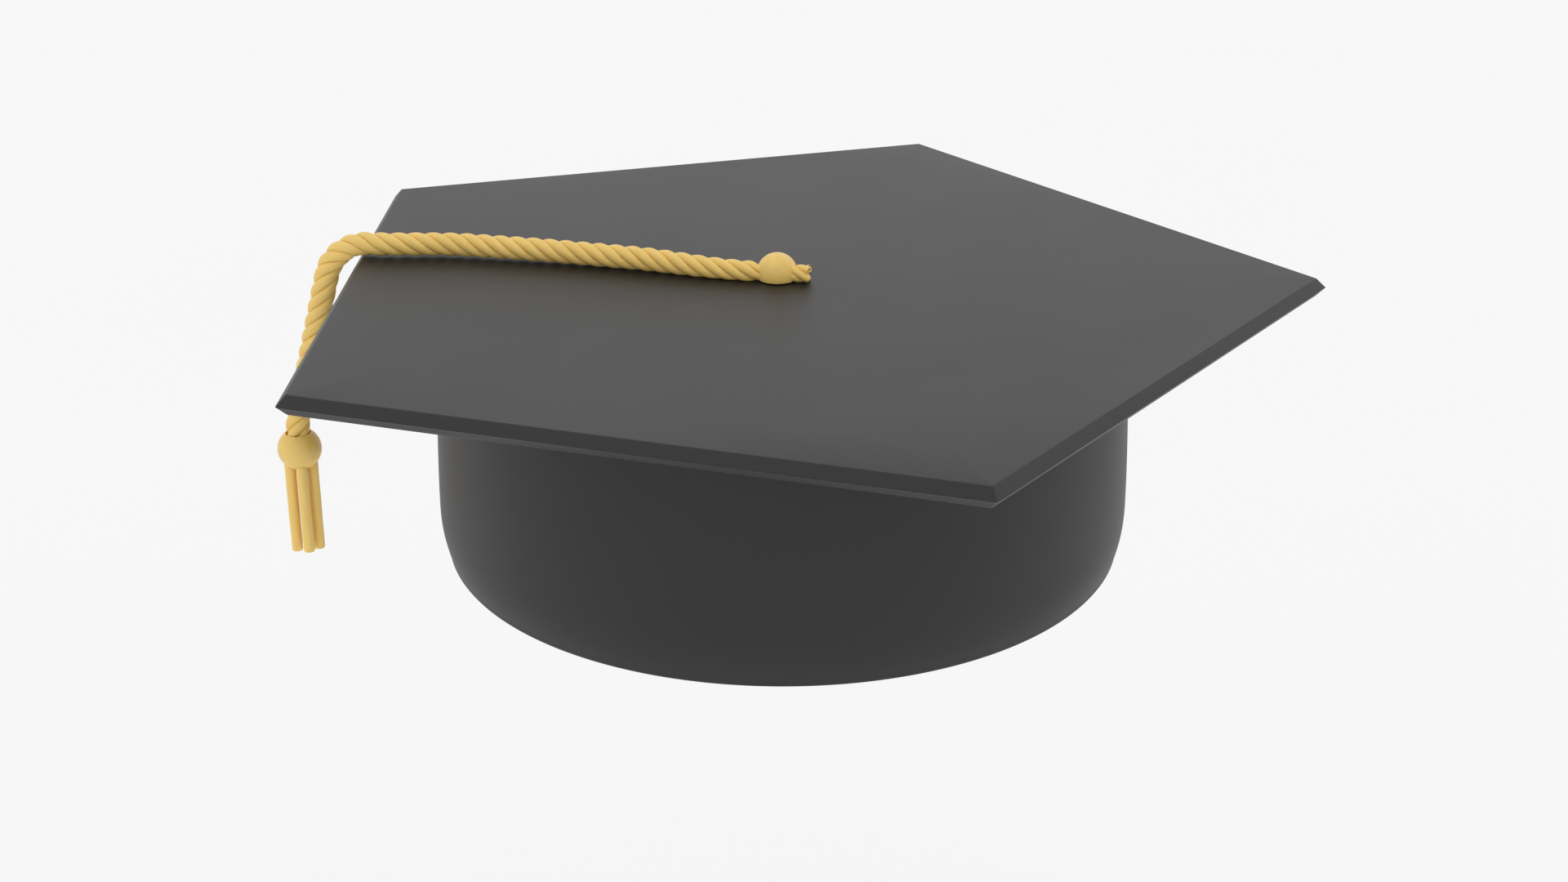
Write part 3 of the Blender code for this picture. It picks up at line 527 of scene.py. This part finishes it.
def cover(name, mat, upside, hole_r):
    """A cloth cover: flat face, crisp fold, bevel down to the rim, thin wall turned in there."""
    sign = 1.0 if upside else -1.0
    face_z = TOP if upside else TOP - THICK
    rings = [rounded_pentagon(radius, rounding) for radius, _, rounding in COVER_SECTION]
    base = rings[0]
    count = len(base)
    length = [0.0]
    for i in range(1, count):
        length.append(length[-1] + (base[i] - base[i - 1]).length)
    verts, uvs, faces = [], [], []

    def z_at(x, y, depth):
        # a taut cloth is never dead flat: the face swells by a few hundredths of a millimetre
        swell = 0.05 * math.sin(x * 0.031 + 0.7) * math.sin(y * 0.027 + 0.3)
        return face_z - sign * depth + (swell * sign if depth == 0.0 else 0.0)

    def join(first, second):
        for j in range(count):
            k = (j + 1) % count
            faces.append((first + j, first + k, second + k, second + j))

    for (_, depth, _), ring in zip(COVER_SECTION, rings):
        for i, p in enumerate(ring):
            verts.append((p.x, p.y, z_at(p.x, p.y, depth)))
            uvs.append((p.x, p.y) if depth < 0.3 else (length[i], depth + 40.0))
    last_ring = len(COVER_SECTION) - 1
    for i in range(last_ring):
        join(i * count, (i + 1) * count)

    def close_to_hole(previous, depth):
        """Rings closing in from the outline to the round hole."""
        for i in range(1, FACE_RINGS + 1):
            start = len(verts)
            for p in base:
                azimuth = math.atan2(p.y, p.x)
                edge = Vector((math.cos(azimuth), math.sin(azimuth), 0.0)) * hole_r
                q = p.lerp(edge, (i / FACE_RINGS) ** 0.8)
                verts.append((q.x, q.y, z_at(q.x, q.y, depth)))
                uvs.append((q.x, q.y))
            join(previous, start)
            previous = start
        return previous

    outer_hole = close_to_hole(0, 0.0)
    inner_hole = close_to_hole(last_ring * count, COVER_T)
    join(outer_hole, inner_hole)
    return new_object(name, verts, faces, mat, uvs, angle=28.0)


assign(cover("board_cover_top", BOARD_CLOTH, True, hole_r=3.7),
       "cap", "board_top_cover")
assign(cover("board_cover_under", BOARD_CLOTH_UNDER, False, hole_r=3.3),
       "cap", "board_bottom_cover")

# ------------------------------------------------------------------ the crown
SEAM_CLEAR = math.degrees(0.15 / 96.0)      # gap at each side of the back panel
WALL_T = 0.9
WALL_TOP = -6.45
ALLOWANCE_R = 86.0                          # inner edge of the cloth turned in under the board
OUTER_Z = [WALL_TOP - (66.0 + WALL_TOP) * i / 26 for i in range(27)] + [
    -68.0, -70.0, -71.6, -73.0, -74.0]
# (offset from the hem's radius, z)
HEM_ROLL = ((0.42, -74.75), (0.1, -75.2), (-0.35, -75.45), (-0.9, HEM_Z),
            (-1.7, HEM_Z), (-2.4, -75.42), (-2.85, -75.1), (-3.0, -74.5))
WALL_UV_R, LINING_UV_R = 97.0, 93.0         # radii that turn azimuths into UV lengths


def crown_radius(z):
    """Outer radius: flares from the board down, then rolls in towards the hem."""
    t = (z + THICK) / (-CROWN_H)
    flare = CROWN_TOP_R + 2.75 * (1.0 - (1.0 - min(1.0, max(0.0, t) / 0.8)) ** 1.7)
    roll = 2.25 * max(0.0, (t - 0.80) / 0.20) ** 2.2
    return flare - roll


def wall_section(azimuth, ripple, leg_top):
    """Closed loop (radius, z, UV v): outer face, rolled hem, turned-up inside leg, inner face
    and the allowance turned in under the board."""
    section = [(crown_radius(z) + ripple(azimuth, z), z, z) for z in OUTER_Z]
    hem_r = crown_radius(HEM_Z)
    sway = ripple(azimuth, HEM_Z) * 0.5
    for offset, z in HEM_ROLL:
        section.append((hem_r + offset + sway, z, z + 2.0 * offset))
    for z in (-73.0, -71.0, -68.0, leg_top):
        section.append((crown_radius(z) - 3.1, z, -84.0 - (z + 75.5)))
    for z in (leg_top, -68.0, -71.0, -73.4):
        section.append((crown_radius(z) - 2.35, z, -100.0 + (z + 75.5)))
    fold_r = crown_radius(-74.2)
    section += [(fold_r - 1.9, -74.35, -102.0), (fold_r - 1.2, -74.35, -103.0)]
    for z in (-73.2, -70.0, -66.0, -61.0, -50.0, -30.0, -12.0, WALL_TOP - WALL_T):
        section.append((crown_radius(z) - WALL_T, z, z))
    section += [(ALLOWANCE_R, WALL_TOP - WALL_T, 0.0), (ALLOWANCE_R, WALL_TOP, 1.0)]
    return section


def wall_piece(name, mat, az_from, az_to, steps, ripple, leg_top, angle):
    rows, uvs = [], []
    for i in range(steps + 1):
        azimuth = az_from + (az_to - az_from) * i / steps
        section = wall_section(azimuth, ripple, leg_top)
        rows.append([polar(azimuth, radius, height(z)) for radius, z, _ in section])
        uvs.append([(math.radians(azimuth) * WALL_UV_R, v) for _, _, v in section])
    return swept(name, rows, uvs, mat, angle=angle)


def shell_ripple(azimuth, z):
    """The cloth lies over the stiffener with slow, shallow swells."""
    a = math.radians(azimuth)
    free = ease(-z, 8.0, 33.0) * (1.0 - ease(-z, 64.0, 72.0))
    return 0.10 * free * (math.sin(5 * a + 0.4 + z * 0.02) + 0.7 * math.sin(11 * a - z * 0.05))


def gusset_ripple(azimuth, z):
    """Gathers: drawn in by the elastic at the foot, fading towards the board."""
    edge = 1.0 - abs((azimuth - BACK) / GUSSET_HALF) ** 8
    low = 0.35 + 0.65 * ease(-z, 20.0, 65.0)
    a = math.radians(azimuth)
    gathers = math.sin(46 * a + 0.9 * math.sin(7 * a)) + 0.45 * math.sin(81 * a + 1.0)
    casing = 1.0 - 0.55 * math.exp(-((z + 61.0) / 1.3) ** 2)
    return -0.25 + 0.42 * gathers * edge * low * casing


shell = wall_piece("crown_wall", CROWN_CLOTH, BACK + GUSSET_HALF + SEAM_CLEAR,
                   BACK + 360.0 - GUSSET_HALF - SEAM_CLEAR, steps=240,
                   ripple=shell_ripple, leg_top=-65.5, angle=50.0)
assign(shell, "cap", "crown_shell")

gusset = wall_piece("back_gathered_panel", GUSSET_CLOTH, BACK - GUSSET_HALF + SEAM_CLEAR,
                    BACK + GUSSET_HALF - SEAM_CLEAR, steps=200,
                    ripple=gusset_ripple, leg_top=-60.7, angle=60.0)
assign(gusset, "cap", "back_gusset")


# ------------------------------------------------------------------ linings, sweatband, label
def ring_piece(name, mat, outer, inner, steps):
    """Closed band between two skins, each giving (radius, z) points for an azimuth."""
    rows, uvs = [], []
    for i in range(steps):
        azimuth = 360.0 * i / steps
        outside, inside = outer(azimuth), inner(azimuth)[::-1]
        rows.append([polar(azimuth, radius, height(z)) for radius, z in outside + inside])
        u = math.radians(azimuth) * LINING_UV_R
        uvs.append([(u, z) for _, z in outside] + [(u, z - 200.0) for _, z in inside])
    return swept(name, rows, uvs, mat, close_rows=True, angle=60.0)


def lining_skin(inset, pucker_share):
    def skin(azimuth):
        a = math.radians(azimuth)
        points = []
        for i in range(15):
            z = -7.75 - (60.2 - 7.75) * i / 14
            middle = math.sin(math.pi * i / 14)
            pucker = -0.35 * middle * (0.5 + 0.5 * math.sin(38 * a + 1.5 * math.sin(5 * a)))
            points.append((crown_radius(z) - inset + pucker * pucker_share, z))
        return points
    return skin


BAND_TOP, BAND_H = -42.0, 28.0


def band_round(t):
    """How far a skin draws in at the band's rounded edges; t runs from top to foot."""
    return 0.45 * (1.0 - min(1.0, min(t, 1.0 - t) / 0.08) ** 0.5)


def band_outside(azimuth):
    points = []
    for i in range(17):
        z = BAND_TOP - BAND_H * i / 16
        points.append((crown_radius(z) - 3.4 - band_round(i / 16) * 0.6, z))
    return points


def band_inside(azimuth):
    """Padded face with a stitched groove near its foot."""
    a = math.radians(azimuth)
    points = []
    for i in range(17):
        t = i / 16
        z = BAND_TOP - BAND_H * t
        pad = 0.25 * math.sin(math.pi * t)
        soft = 0.08 * math.sin(9 * a + 3 * t)
        groove = 0.12 * math.exp(-((t - 0.90) / 0.02) ** 2)
        points.append((crown_radius(z) - 4.25 - pad - soft + band_round(t) * 0.9 + groove, z))
    return points


lining = ring_piece("wall_lining", LINING_SATIN, lining_skin(2.35, pucker_share=0.8),
                    lining_skin(2.9, pucker_share=1.0), steps=300)
assign(lining, "cap", "crown_lining")
assign(ring_piece("sweatband_soft", SWEATBAND, band_outside, band_inside, steps=220),
       "cap", "sweatband")


def ceiling_piece():
    """Ceiling lining: a satin disc, drawn into soft radial tucks near its edge."""
    steps, ring_count = 180, 26
    low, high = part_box("tip_lining")
    rim_r = high.x / MM
    sides = ((low.z / MM, 0.6), (high.z / MM, 0.5))     # (z, share of the tuck's depth)
    verts, uvs, faces = [], [], []
    for level, share in sides:
        for i in range(1, ring_count + 1):
            r = rim_r * i / ring_count
            tuck = 0.28 * ease(r / rim_r, 0.55, 0.9) * (1 - ease(r / rim_r, 0.93, 1.0))
            for k in range(steps):
                a = 2 * math.pi * k / steps
                depth = tuck * (0.5 + 0.5 * math.sin(30 * a + 0.8 * math.sin(4 * a)))
                verts.append((r * math.cos(a), r * math.sin(a), level + depth * share))
                uvs.append((r * math.cos(a), r * math.sin(a)))

    def join(first, second):
        for k in range(steps):
            m = (k + 1) % steps
            faces.append((first + k, first + m, second + m, second + k))

    side_size = ring_count * steps
    for side, (level, _) in enumerate(sides):
        start = side * side_size
        for i in range(ring_count - 1):
            join(start + i * steps, start + (i + 1) * steps)
        centre = len(verts)
        verts.append((0.0, 0.0, level))
        uvs.append((0.0, 0.0))
        for k in range(steps):
            faces.append((centre, start + k, start + (k + 1) % steps))
    join(side_size - steps, 2 * side_size - steps)
    return new_object("ceiling_lining", verts, faces, LINING_SATIN, uvs, angle=60.0)


assign(ceiling_piece(), "cap", "tip_lining")


def label_piece():
    """A small cloth label inside the back of the crown, thinner at its folded edges."""
    rows, uvs = [], []
    steps, half_angle = 40, 12.0
    for i in range(steps + 1):
        azimuth = BACK - half_angle + 2 * half_angle * i / steps
        t = i / steps
        fold = 0.12 * (1.0 - ease(min(t, 1 - t), 0.0, 0.06))
        section = [(crown_radius(z) - 3.2, z) for z in (-14.0, -20.0, -28.0, -34.0)]
        for k in range(11):
            z = -34.0 + 20.0 * k / 10
            edge = min(k, 10 - k) / 10
            hem = 0.12 * (1.0 - ease(edge, 0.0, 0.12))
            sway = 0.05 * math.sin(5 * t + 3 * edge)
            section.append((crown_radius(z) - 3.6 - fold - hem - sway, z))
        rows.append([polar(azimuth, radius, height(z)) for radius, z in section])
        uvs.append([(math.radians(azimuth) * LINING_UV_R, z) for _, z in section])
    return swept("blank_label", rows, uvs, LABEL_CLOTH, angle=40.0)


assign(label_piece(), "cap", "size_label")

# ------------------------------------------------------------------ the cord's axis
BEND_ARC = math.radians(90.0 - LEAN)
BEND_END = RUN_LEN + BEND_R * BEND_ARC                    # s where the straight drop starts
DROP_END = BEND_END + DROP_LEN                            # s where the cord turns plumb
CORD_END = DROP_END + TURN_DOWN_R * math.radians(LEAN)    # s at the tassel bead's mouth


def opened(s):
    """0 inside the middle bead, 1 well clear of it on the run; the cut ends reach 0.75."""
    if s >= 0.0:
        return ease(s, 6.0, 9.0)
    return 0.75 * ease(-s, 3.5, 7.0)


def relaxed(s):
    return ease(s, 9.0, 43.0)


def sideways(s):
    return 3.0 * math.exp(-((s - 13.0) / 25.0) ** 2) - 0.35 * math.exp(-((s - 68.0) / 14.0) ** 2)


def cord_axis(s):
    """Point on the cord's axis: run, bend, leaning drop, then the turn to plumb."""
    if s <= RUN_LEN:
        azimuth = AZ_RUN + (AZ_DROP - AZ_RUN) * ease(s, DRIFT_FROM, DRIFT_TO)
        z = stepped(CORD_Z, (opened(s), relaxed(s), ease(s, 45.0, 95.0)))
        return polar(azimuth, s, height(z)) + polar(AZ_RUN + 90.0, sideways(s), 0.0)
    arc = min((s - RUN_LEN) / BEND_R, BEND_ARC)
    radius = RUN_LEN + BEND_R * math.sin(arc)
    z = CORD_Z[-1] - BEND_R * (1.0 - math.cos(arc))
    if s <= BEND_END:
        return polar(AZ_DROP, radius, height(z))
    lean = math.radians(LEAN)
    down = min(s - BEND_END, DROP_LEN)
    radius += down * math.sin(lean)
    z -= down * math.cos(lean)
    if s <= DROP_END:
        return polar(AZ_DROP, radius, height(z))
    turn = min((s - DROP_END) / TURN_DOWN_R, lean)
    radius += TURN_DOWN_R * (math.cos(lean - turn) - math.cos(lean))
    z -= TURN_DOWN_R * (math.sin(lean) - math.sin(lean - turn))
    return polar(AZ_DROP, radius, height(z)) - Vector((0.0, 0.0, max(0.0, s - CORD_END)))


def cord_direction(s):
    return (cord_axis(s + 0.05) - cord_axis(s - 0.05)).normalized()


def square_to(normal, direction):
    return (normal - direction * normal.dot(direction)).normalized()


# normals carried along the cord without twisting, at even steps from FIRST_S
FINE = 0.25
FIRST_S = -TAIL - 1.0
NORMALS = []
carried = Vector((0.0, 0.0, 1.0))
for i in range(int((CORD_END + 6.0 + TAIL + 1.0) / FINE)):
    carried = square_to(carried, cord_direction(FIRST_S + FINE * i))
    NORMALS.append(carried)


def cord_frame(s):
    """Point, direction, normal and side vector of the cord at s."""
    i = min(len(NORMALS) - 1, max(0, int(round((s - FIRST_S) / FINE))))
    along = cord_direction(s)
    normal = square_to(NORMALS[i], along)
    return cord_axis(s), along, normal, along.cross(normal)


# ------------------------------------------------------------------ the cord's four plies
def ply_sizes(s):
    """Distance of a ply's axis from the cord's axis, and the ply's own radius."""
    girth = 1.0 + SWELL * ease(s, 116.0, 138.0)
    shares = (opened(s), relaxed(s))
    axis_r = stepped(PLY_AXIS_R, shares)
    outer = (axis_r + stepped(PLY_OWN_R, shares)) * girth
    axis_r *= girth * FULLNESS
    return axis_r, outer - axis_r


def pressed(p, s):
    """The board holds the cord's underside up where the cord lies on it."""
    if s < RUN_LEN + 6.0 and p.z < TOP + LIE and math.hypot(p.x, p.y) < 124.2:
        return Vector((p.x, p.y, TOP + LIE))
    return p


def ply_ring(s, index):
    """Section of one ply across the cord: plump outside, pressed flat against its neighbours."""
    at, along, normal, side = cord_frame(s)
    axis_r, own_r = ply_sizes(s)
    # the cut ends turn faster, stand free and are cut square
    extra_turn = TAIL_TWIST * ease(-s, TWIST_FROM, TAIL)
    theta = math.radians(PHASE + 90.0 * index - extra_turn) + 2 * math.pi * s / PITCH
    slope = 2 * math.pi * axis_r / PITCH + (
        axis_r * math.radians(TAIL_TWIST) * 1.1 / (TAIL - TWIST_FROM)
        * ease(-s, TWIST_FROM, 4.5))
    widening = math.sqrt(1.0 + slope * slope)
    loose = ease(-s, 3.5, 6.5)
    radial = normal * math.cos(theta) + side * math.sin(theta)
    tangential = along.cross(radial)
    lay = (along + tangential * slope).normalized()
    centre = at + radial * axis_r
    ring = []
    for k in range(PLY_SIDES):
        q = 2 * math.pi * k / PLY_SIDES
        ridge = 1.0 + 0.008 * math.cos(6 * q + s * 1.3) + 0.006 * wobble(s * 0.8, index * 2.1)
        radius = own_r * ridge * (1.0 - 0.16 * loose)
        x, y = axis_r + radius * math.cos(q), radius * widening * math.sin(q)
        phi = max(-SECTOR, min(SECTOR, math.atan2(y, x)))
        rho = math.hypot(x, y)
        p = at + radial * (rho * math.cos(phi)) + tangential * (rho * math.sin(phi))
        offset = p - centre
        ring.append(pressed(centre + offset - lay * (offset.dot(lay) * loose), s))
    return ring, centre, lay


# cut end, inside to lip: (share drawn in to the ply's centre, shift along the ply, UV shift)
CUT_END = ((0.50, 1.0, 5.0), (0.32, 0.25, 4.0), (0.24, -0.05, 3.6), (0.10, -0.09, 3.3))


def ply_piece(name, index, start, end, open_start=False):
    """One ply from start to end; open_start gives it a hollow cut end."""
    count = max(2, int(math.ceil((end - start) / PLY_STEP)))
    stations = [start + (end - start) * i / count for i in range(count + 1)]
    stations[1:1] = [start + 0.07, start + 0.25]
    stations[-1:-1] = [end - 0.25, end - 0.07]
    rings = [ply_ring(s, index)[0] for s in stations]
    uvs = [[(s * 1.2, k / PLY_SIDES) for k in range(PLY_SIDES)] for s in stations]
    if open_start:
        first, centre, lay = ply_ring(start, index)
        rings = [[p.lerp(centre, share) + lay * shift for p in first]
                 for share, shift, _ in CUT_END] + rings
        uvs = [[(u + uv_shift, v) for u, v in uvs[0]] for _, _, uv_shift in CUT_END] + uvs
    return swept(name, rings, uvs, GOLD_YARN, angle=75.0, wrap=(1, 1.0))


def blend_cord(obj, start, end):
    """Bake the piece's placement into its mesh; the points at start and end along the cord are
    worked out but not used.
    """
    cord_axis(start) * MM
    cord_axis(end) * MM
    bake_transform(obj)


DROP_FROM = BEND_END + 0.5      # where the run pieces end
FOOT_FROM = CORD_END - 16.0     # where the drop pieces end
for i in range(4):
    n = i + 1
    run = ply_piece(f"cord_ply_{n}_run", i, -TAIL, DROP_FROM, open_start=True)
    blend_cord(run, RUN_LEN + 4.5, BEND_END)
    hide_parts(f"run_ply_{n}", f"bend_ply_{n}")
    drop = ply_piece(f"cord_ply_{n}_drop", i, DROP_FROM, FOOT_FROM)
    blend_cord(drop, BEND_END + 0.7, BEND_END + 10.0)
    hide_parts(f"drop_ply_{n}")
    foot = ply_piece(f"cord_ply_{n}_foot", i, FOOT_FROM, CORD_END + 1.6)
    blend_cord(foot, CORD_END - 9.0, CORD_END - 0.6)

# ------------------------------------------------------------------ beads
MOUTH_Z = TASSEL_H * math.sqrt(1.0 - (TASSEL_MOUTH_R / TASSEL_R) ** 2)  # above the bead's centre
TASSEL_CENTRE = cord_axis(CORD_END) - Vector((0.0, 0.0, MOUTH_Z))


def lathe_bead(name, profile, centre, steps=96):
    """Turned bead from (radius, z) points round a vertical axis."""
    along = [0.0]
    for (r0, z0), (r1, z1) in zip(profile, profile[1:]):
        along.append(along[-1] + math.hypot(r1 - r0, z1 - z0))
    rows, uvs = [], []
    for i in range(steps):
        a = 2 * math.pi * i / steps
        rows.append([(centre.x + r * math.cos(a), centre.y + r * math.sin(a), centre.z + z)
                     for r, z in profile])
        uvs.append([(i / steps, v) for v in along])
    obj = swept(name, rows, uvs, GOLD_BEAD, close_rows=True, close_points=False,
                recalc=False, wrap=(0, 1.0))
    recalc_normals(obj.data, merge=True)
    return obj


def middle_bead():
    """A full round bead with a slightly pinched foot, over the cord."""
    foot_angle = math.asin((BEAD_FOOT - BEAD_CENTRE) / BEAD_R)
    profile = [(0.0, BEAD_CENTRE + BEAD_R)]
    for i in range(1, 34):
        a = math.pi / 2 + (foot_angle - math.pi / 2) * i / 33
        profile.append((BEAD_R * math.cos(a), BEAD_CENTRE + BEAD_R * math.sin(a)))
    foot_r = profile[-1][0]
    profile += [(foot_r - 0.1, 0.34), (foot_r - 0.35, 0.3), (0.0, 0.3)]
    at = polar(AZ_RUN, BEAD_ALONG, TOP) + polar(AZ_RUN + 90.0, BEAD_SIDE, 0.0)
    return lathe_bead("middle_bead", profile, at)


def strand_top(azimuth):
    return TASSEL_CENTRE + polar(azimuth, STRAND_OFFSET, -STRAND_PIVOT)


def socket_tool(azimuth):
    at = strand_top(azimuth)
    middle = Vector((at.x, at.y, at.z + (SOCKET_UP - SOCKET_DOWN) / 2)) * MM
    bm = bmesh.new()
    bmesh.ops.create_cone(bm, cap_ends=True, segments=40, radius1=SOCKET_R * MM,
                          radius2=SOCKET_R * MM, depth=(SOCKET_DOWN + SOCKET_UP) * MM,
                          matrix=Matrix.Translation(middle))
    return object_from_bmesh("tool", bm)


def cut_away(obj, tools):
    for tool in tools:
        mod = obj.modifiers.new("cut", "BOOLEAN")
        mod.operation = "DIFFERENCE"
        mod.solver = "EXACT"
        mod.object = tool
    depsgraph = bpy.context.evaluated_depsgraph_get()
    depsgraph.update()
    mesh = bpy.data.meshes.new_from_object(obj.evaluated_get(depsgraph))
    obj.modifiers.clear()
    old = obj.data
    obj.data = mesh
    bpy.data.meshes.remove(old)
    for tool in tools:
        bpy.data.objects.remove(tool, do_unlink=True)


def tassel_bead():
    """A full round bead, small round mouth above, four sockets below."""
    profile = [(0.0, MOUTH_Z - 2.0), (3.4, MOUTH_Z - 2.0), (3.6, MOUTH_Z - 1.7),
               (3.62, MOUTH_Z - 0.12), (3.74, MOUTH_Z + 0.02)]
    mouth_angle = math.asin(MOUTH_Z / TASSEL_H)
    for i in range(1, 44):
        a = mouth_angle + (-math.pi / 2 - mouth_angle) * i / 43
        profile.append((TASSEL_R * math.cos(a) if i < 43 else 0.0, TASSEL_H * math.sin(a)))
    obj = lathe_bead("tassel_bead_round", profile, TASSEL_CENTRE)
    cut_away(obj, [socket_tool(azimuth) for azimuth in STRAND_ANGLES])
    obj.data.shade_smooth()
    obj.data.set_sharp_from_angle(angle=math.radians(40))
    return obj


assign(middle_bead(), "cord_run", "knot_bead")
assign(tassel_bead(), "tassel_head", "tassel_bead")

# ------------------------------------------------------------------ strands
# hollow foot of a strand: (height above its end, share of its radius, UV shift)
STRAND_FOOT = ((0.0, 0.94, -2.2), (0.0, 0.72, -2.6), (0.25, 0.66, -3.0), (2.6, 0.62, -5.5))


def strand_piece(index, azimuth):
    """A hanging strand: domed top, slightly bowed length, hollow foot."""
    at = strand_top(azimuth)
    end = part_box(f"strand_{index + 1}")[0].z / MM - at.z
    seed = 1.7 * index
    # (z from the pivot, radius, UV along)
    stations = []
    for i in range(1, 7):
        a = math.pi / 2 * (1 - i / 6)
        stations.append((STRAND_R * math.sin(a) + 0.001 * i, STRAND_R * math.cos(a) + 0.02,
                         -i * 0.3))
    for i in range(1, 35):
        z = end * i / 34 * 0.992
        stations.append((z, STRAND_R * (1.0 + 0.012 * wobble(z * 0.5, seed)), -2.0 + z))
    stations += [(end + rise, STRAND_R * share, end + shift)
                 for rise, share, shift in STRAND_FOOT]
    rings, uvs = [], []
    for z, radius, u in stations:
        t = min(0.0, z) / end
        centre = at + Vector((0.10 * math.sin(2.4 * t + seed) * t,
                              0.10 * math.sin(2.1 * t + seed * 1.9) * t, 0.0))
        centre += Vector((0.0, 0.0, z))
        ring = []
        for k in range(STRAND_SIDES):
            a = 2 * math.pi * k / STRAND_SIDES
            ridge = 1.0 + 0.010 * math.cos(6 * a + z * 0.5)
            ring.append(centre + Vector((math.cos(a), math.sin(a), 0.0)) * radius * ridge)
        rings.append(ring)
        uvs.append([(u, k / STRAND_SIDES) for k in range(STRAND_SIDES)])
    return swept(f"tassel_strand_{index + 1}_soft", rings, uvs, GOLD_YARN, angle=70.0,
                 wrap=(1, 1.0))


for i, strand_azimuth in enumerate(STRAND_ANGLES):
    assign(strand_piece(i, strand_azimuth), f"tassel_strand_{i + 1}", f"strand_{i + 1}")

# ------------------------------------------------------------------ stage, light, camera (metres)
FLOOR_Z = -0.55
FLOOR_HALF = 14.0
BACKDROP = (0.932, 0.932, 0.932, 1.0)
CAMERA_AT = Vector((0.00032, -0.5731, 0.1944))      # from the board's top, before the turn
CAMERA_PITCH, CAMERA_TURN = math.radians(23.01), math.radians(54.0)


def build_floor():
    bm = bmesh.new()
    bmesh.ops.create_grid(bm, x_segments=1, y_segments=1, size=FLOOR_HALF,
                          matrix=Matrix.Translation((0, 0, FLOOR_Z)))
    floor = object_from_bmesh("studio_floor", bm)
    mat = Shader("pale_floor")
    cloudy = mat.noise(mat.obj(), scale=2.0, detail=2.0)
    tone = mat.mix(cloudy, (0.93, 0.93, 0.93, 1), (0.94, 0.94, 0.94, 1))
    floor.data.materials.append(
        mat.surface(Base_Color=tone, Roughness=1.0, Specular_IOR_Level=0.0))


def build_world():
    """Even white light; seen directly, the backdrop has the floor's own tone."""
    world = bpy.data.worlds.new("studio")
    bpy.context.scene.world = world
    world.use_nodes = True
    nodes, links = world.node_tree.nodes, world.node_tree.links
    light = nodes["Background"]
    light.inputs["Color"].default_value = (1.0, 1.0, 1.0, 1.0)
    light.inputs["Strength"].default_value = 1.0
    seen = nodes.new("ShaderNodeBackground")
    seen.inputs["Color"].default_value = BACKDROP
    path = nodes.new("ShaderNodeLightPath")
    pick = nodes.new("ShaderNodeMixShader")
    links.new(path.outputs["Is Camera Ray"], pick.inputs[0])
    links.new(light.outputs[0], pick.inputs[1])
    links.new(seen.outputs[0], pick.inputs[2])
    links.new(pick.outputs[0], nodes["World Output"].inputs[0])


def build_camera():
    data = bpy.data.cameras.new("camera")
    data.lens = 50.0
    data.sensor_width = 36.0
    data.sensor_fit = "HORIZONTAL"
    data.clip_start, data.clip_end = 0.01, 60.0
    camera = link_object("camera", data)
    turn = Matrix.Rotation(CAMERA_TURN, 4, "Z")
    look = turn @ Vector((0.0, math.cos(CAMERA_PITCH), -math.sin(CAMERA_PITCH)))
    camera.location = turn @ CAMERA_AT + Vector((0.0, 0.0, TOP * MM))
    camera.rotation_mode = "QUATERNION"
    camera.rotation_quaternion = look.to_track_quat("-Z", "Y")
    bpy.context.scene.camera = camera


build_floor()
build_world()
bpy.context.scene.view_settings.view_transform = "Standard"
bpy.context.scene.view_settings.look = "None"
build_camera()
